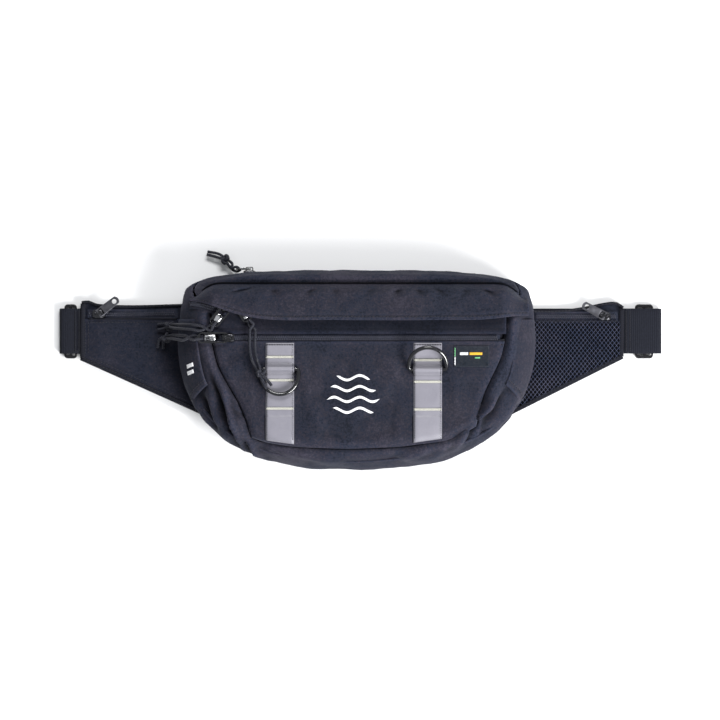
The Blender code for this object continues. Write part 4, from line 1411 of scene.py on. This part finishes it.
def wing_cloth(name, side, ceiling, z, puff, look, thickness):
    plan = wing_grid(side, ceiling, 0.6)
    rows = []
    for c, line in enumerate(plan):
        row = []
        for r, (x, y) in enumerate(line):
            u, v = c / (len(plan) - 1), r / (len(line) - 1)
            crown = min(1.0, 7 * u, 5 * v, 5 * (1 - v))
            near = smooth_step(150, 176, abs(x))
            wave = 1.1 * ripple(x, y, 0, 26, 41 + side) + 0.5 * ripple(x * 0.5, y * 1.6, 0, 9, 42)
            wave *= 0.45
            if abs(x) > 138:
                wave += 0.9 * math.exp(-(abs(x) - 142) / 14) * math.sin(y / 3.1 + 0.6 * math.sin(y / 7))
            row.append(Vector((x, y, z + crown * (puff * (0.55 + 0.45 * near) + wave))))
        rows.append(row)
    cloth = fix_normals(sheet_mesh(name, rows, LOOKS[look]))
    if sum(p.normal.z for p in cloth.data.polygons) < 0:
        cloth.data.flip_normals()
    return solidify(cloth, thickness)


def mesh_lattice(name, ceiling, z, puff):
    """Open warp-knit mesh: a diagonal net of round yarns that follows the right wing's swell."""
    pitch, reach = 3.5, 60
    corners, faces = {}, []

    def place(i, j):
        return 171 + (i - j) * pitch / 2, 8 + (i + j) * pitch * 0.62

    plan = wing_grid(1, ceiling, 1.0)
    ring = flat([line[0] for line in plan] + [line[-1] for line in plan[::-1]])
    for i in range(-reach, reach):
        for j in range(-reach, reach):
            x, y = place(i + 0.5, j + 0.5)
            if 120 < x < 222 and -40 < y < ceiling and inside(x, y, ring):
                cell = ((i, j), (i + 1, j), (i + 1, j + 1), (i, j + 1))
                faces.append(tuple(corners.setdefault(k, len(corners)) for k in cell))
    verts = []
    for x, y in (place(*k) for k in corners):
        crown = min(1.0, line_distance(x, y, ring + ring[:1]) / 7.0)
        wave = ripple(x, y, 0, 24, 45) + 0.5 * ripple(x, y, 0, 10, 46)
        verts.append((x, y, z + crown * (puff + 0.6 * wave)))
    net = add_mesh(name, verts, faces, LOOKS["mesh"])
    wire = net.modifiers.new("yarns", "WIREFRAME")
    wire.thickness = 0.4 * MM
    wire.use_even_offset = False
    return apply_modifiers(net)




def on_top(obj, line):
    """Plan points dropped onto a piece's upper face; those that miss it are left out."""
    bpy.context.view_layer.update()
    found = []
    for p in line:
        hit, place, _, _ = obj.ray_cast(Vector((p.x, p.y, 90)) * MM, Vector((0, 0, -1)))
        if hit:
            found.append(place / MM + Vector((0, 0, 0.15)))
    return found


def build_wings():
    for name, side in (("left", -1), ("right", 1)):
        back = wing_cloth(f"wing_{name}_back_cloth", side, 90, 4.7, 0.0, "wing", 1.4)
        keep(back, nodes=[f"wing_{name}_back"])
    left = wing_cloth("wing_left_cloth", -1, 41.4, 6.4, 2.0, "wing", 1.1)
    keep(left, nodes=["wing_left_front"])
    for k, (start, end, count) in enumerate((
        ((-230.9, 11.5), (-230.9, 38.5), 18),
        ((-228.2, 12.0), (-228.2, 39.0), 18),
        ((-227.5, 38.4), (-157.5, 38.4), 35),
        ((-228.0, 9.8234), (-146.0, -27.1586), 41),
    )):
        seam = on_top(left, straight((*start, 0), (*end, 0), count))
        keep(stitches(f"wing_left_seam_{k}", seam, 2.6, 1.8, 0.3, 0.0))
    keep(wing_cloth("wing_right_liner", 1, 39.4, 5.6, 1.0, "lining_and_shade", 0.5))
    keep(mesh_lattice("wing_right_mesh", 39.4, 7.1, 1.3), nodes=["wing_right_front"])
    for name, low, top, tip in (
        ("left", LEFT_LOW[:2], LEFT_TOP, [(-233.2, 8.4), (-233.4, 30.0), (-232.8, 54.0)]),
        ("right", RIGHT_LOW[1:], RIGHT_TOP, [(218.7, 9.6), (219.0, 30.0), (219.2, 50.0)]),
    ):
        for tag, line, lift, width, thickness, z in (
            ("low", low, 1.1, 4.4, 2.9, 6.2),
            ("top", top, 0.1, 2.6, 1.8, 5.4),
            ("tip", tip, 0.0, 4.4, 2.9, 6.2),
        ):
            path = curved([(x, y + lift, z) for x, y in line], 3.0)
            section = rounded_section(width, thickness)
            band = sweep(f"wing_{name}_binding_{tag}", path, section, LOOKS["binding"])
            keep(band)
            if tag != "tip":
                over = Vector((0, 0.9 if tag == "low" else 0, thickness / 2 + 0.1))
                seam = [p + over for p in path]
                keep(stitches(f"wing_{name}_stitch_{tag}", seam, 2.8, 2.0, 0.26, 0.0))
    for name, x0, x1, y in (("left", -228, -154, 41.2), ("right", 148, 215, 39.2)):
        lip = [(x0 + (x1 - x0) * i / 30, y, 6.5 + 0.3 * ripple(i, 0, 0, 5, 47)) for i in range(31)]
        lip = sweep(f"wing_{name}_zip_lip", lip, rounded_section(2.2, 1.5), LOOKS["binding"])
        keep(lip)
    for name, root in (
        ("right", [(140.0, 40.0), (139.5, 25.0), (137.0, 4.0), (132.2, -14.5), (123.4, -32.4)]),
        ("left", [(-146.8, 44), (-146.6, 25), (-144.0, 3), (-138.8, -15.4), (-130.2, -33)]),
    ):
        path = curved([(x, y, 8.0) for x, y in root], 3.0)
        seam = sweep(f"wing_{name}_root_seam", path, rounded_section(3.4, 3.0), LOOKS["binding"])
        keep(seam)


# ---------------------------------------------------------------- belts


def belt(name, path, node, body="pack"):
    """Webbing whose side view follows an XZ path, with rounded edges."""
    section = rounded_section(38.0, 1.2)
    rows = []
    for i, (x, z) in enumerate(path):
        before, after = path[max(0, i - 1)], path[min(len(path) - 1, i + 1)]
        along = Vector((after[0] - before[0], 0, after[1] - before[1])).normalized()
        normal = Vector((-along.z, 0, along.x))
        rows.append([Vector((x, BELT_Y + s, z)) + normal * h for s, h in section])
    keep(tube(name, rows, LOOKS["webbing"]), body, [node])


def flat_arc(cx, cz, radius, start, end, steps=7):
    turns = [math.radians(start + (end - start) * i / steps) for i in range(steps + 1)]
    return [(cx + radius * math.cos(t), cz + radius * math.sin(t)) for t in turns]


def side_run(wing_end, frame_low, frame_high):
    """The webbing's end over the wing tip and its return under it through the tri-glide, for +X."""
    radius, over = 2.95, 4.6
    fold = 252.0 - radius
    middle = (frame_low + frame_high) / 2
    end = [(wing_end + 0.3, 5.8), (wing_end + 2.2, 5.8), (frame_low + 1.2, 6.5)]
    end += flat_arc(fold, 3.55, radius, 90, 2)
    back = flat_arc(fold, 3.55, radius, -2, -90)
    back.append((frame_high - 1.0, 0.6))
    back += [(middle + x, z) for x, z in ((3.0, 0.7), (2.2, over - 0.5), (1.5, over))]
    back += [(middle + x, z) for x, z in ((-1.5, over), (-2.2, over - 0.5), (-3.0, 0.7))]
    back.append((frame_low + 0.6, 0.6))
    return end, back


def mirrored(path):
    return [(-x, z) for x, z in path]


def build_belts():
    under = [(200 - 20 * k, 0.6) for k in range(8)]
    end, back = side_run(234.8, 238.0, 248.6)
    belt("belt_left_end_webbing", mirrored(end), "webbing_left_end")
    belt("belt_left_webbing", mirrored(back + under), "belt_left")
    end, back = side_run(220.8, 230.4, 245.6)
    belt("belt_right_end_webbing", end, "webbing_right_end")
    run = [*back, *under, (55.4, 0.6), (46.4, 2.0), (40.4, 2.05)]
    run += flat_arc(39.4, 4.4, 2.3, -100, -270, 9)
    belt("belt_right_webbing", run + [(45.4, 6.6), (53.4, 2.9), (59.4, 2.1), (90.0, 2.1)], "belt_right")
    tail = [(-110.0, 2.1), (-84, 2.1), (-56.6, 2.1), (-47.6, 2.0), (-41.6, 2.05)]
    tail += [*flat_arc(-40.6, 4.4, 2.3, -80, 90, 9), (-46.6, 6.6), (-53.6, 4.4), (-64.6, 4.0)]
    belt("belt_left_adjuster_webbing", tail, "belt_left_adjuster", "buckle_male")
    for name, x, z in (("left", -237.6, 7.4), ("right", 224.4, 6.75)):
        for k, dx in enumerate((-1.6, 1.6)):
            path = straight((x + dx, BELT_Y - 17, z), (x + dx, BELT_Y + 17, z), 20)
            keep(stitches(f"belt_{name}_bartack_{k}", path, 1.2, 1.8, 0.28, 0.0, 0.8))


# ---------------------------------------------------------------- back pad


def build_back_pad():
    """Quilted foam pad under knit mesh, with its belt channel and buckle window."""
    rings = [
        (0.2, 134.0, 70.5, -69.5, 5.0), (1.2, 139.5, 73.4, -73.6, 5.0), (3.5, 142.0, 75.4, -76.0, 5.0),
        (6.5, 142.4, 75.8, -76.4, 5.0), (8.4, 141.0, 74.6, -75.0, 5.0), (8.9, 136.0, 70.6, -70.0, 5.0),
    ]
    rows = [ring_points(ring, 180) for ring in rings]
    under, over = (
        [BACK_CENTRE + (p - BACK_CENTRE) * 0.002 + Vector((0, 0, p.z - BACK_Z)) for p in row]
        for row in (rows[0], rows[-1])
    )
    pad = fix_normals(sheet_mesh("back_pad_mesh", [under, *rows, over], LOOKS["pad"], closed=True))
    for x, (y0, y1), (z0, z1) in ((165, (9.4, 52.6), (-4, 3.2)), (70.6, (5.4, 56.6), (-4, 14))):
        corners = [(a, b, c) for c in (z0, z1) for a, b in ((-x, y0), (x, y0), (x, y1), (-x, y1))]
        box = add_mesh("cut", corners, tube_faces(2, 4), LOOKS["pad"], smooth=False)
        cut = pad.modifiers.new("cut", "BOOLEAN")
        cut.object = box
        cut.solver = "EXACT"
        apply_modifiers(pad)
        bpy.data.objects.remove(box)
    remesh = pad.modifiers.new("remesh", "REMESH")
    remesh.mode = "VOXEL"
    remesh.voxel_size = 2.2 * MM
    pad.modifiers.new("soft", "SMOOTH").iterations = 3
    apply_modifiers(pad)
    for vertex in pad.data.vertices:
        p = vertex.co / MM
        if p.z < 3.0 and p.y < 6:
            near = min(abs(p.y - y - 1.2 * math.sin(p.x / 40)) for y in (-58, -40, -22, -4))
            near = min(near, abs(abs(p.x - BODY_X) - 62.0) + (0 if p.y < -4 else 9))
            vertex.co.z += 1.7 * MM * hill(near, 2.4)
        if p.z < 1.5:
            vertex.co.z += max(0.0, 0.25 * ripple(p.x, p.y, 0, 12, 51)) * MM
        vertex.co.z = max(vertex.co.z, 0.15 * MM)
    pad.data.shade_smooth()
    pad.data.materials.clear()
    pad.data.materials.append(LOOKS["pad"])
    keep(pad, nodes=["back_pad"])


# ---------------------------------------------------------------- assembly


add_camera()
build_cords()
build_shell()
build_front_panel()
build_band()
build_zips()
build_flap()
build_side_tabs()
build_seams()
build_straps()
build_label()
build_prints()
build_rings()
build_hardware()
build_inserts()
build_wings()
build_belts()
build_back_pad()
add_stage()
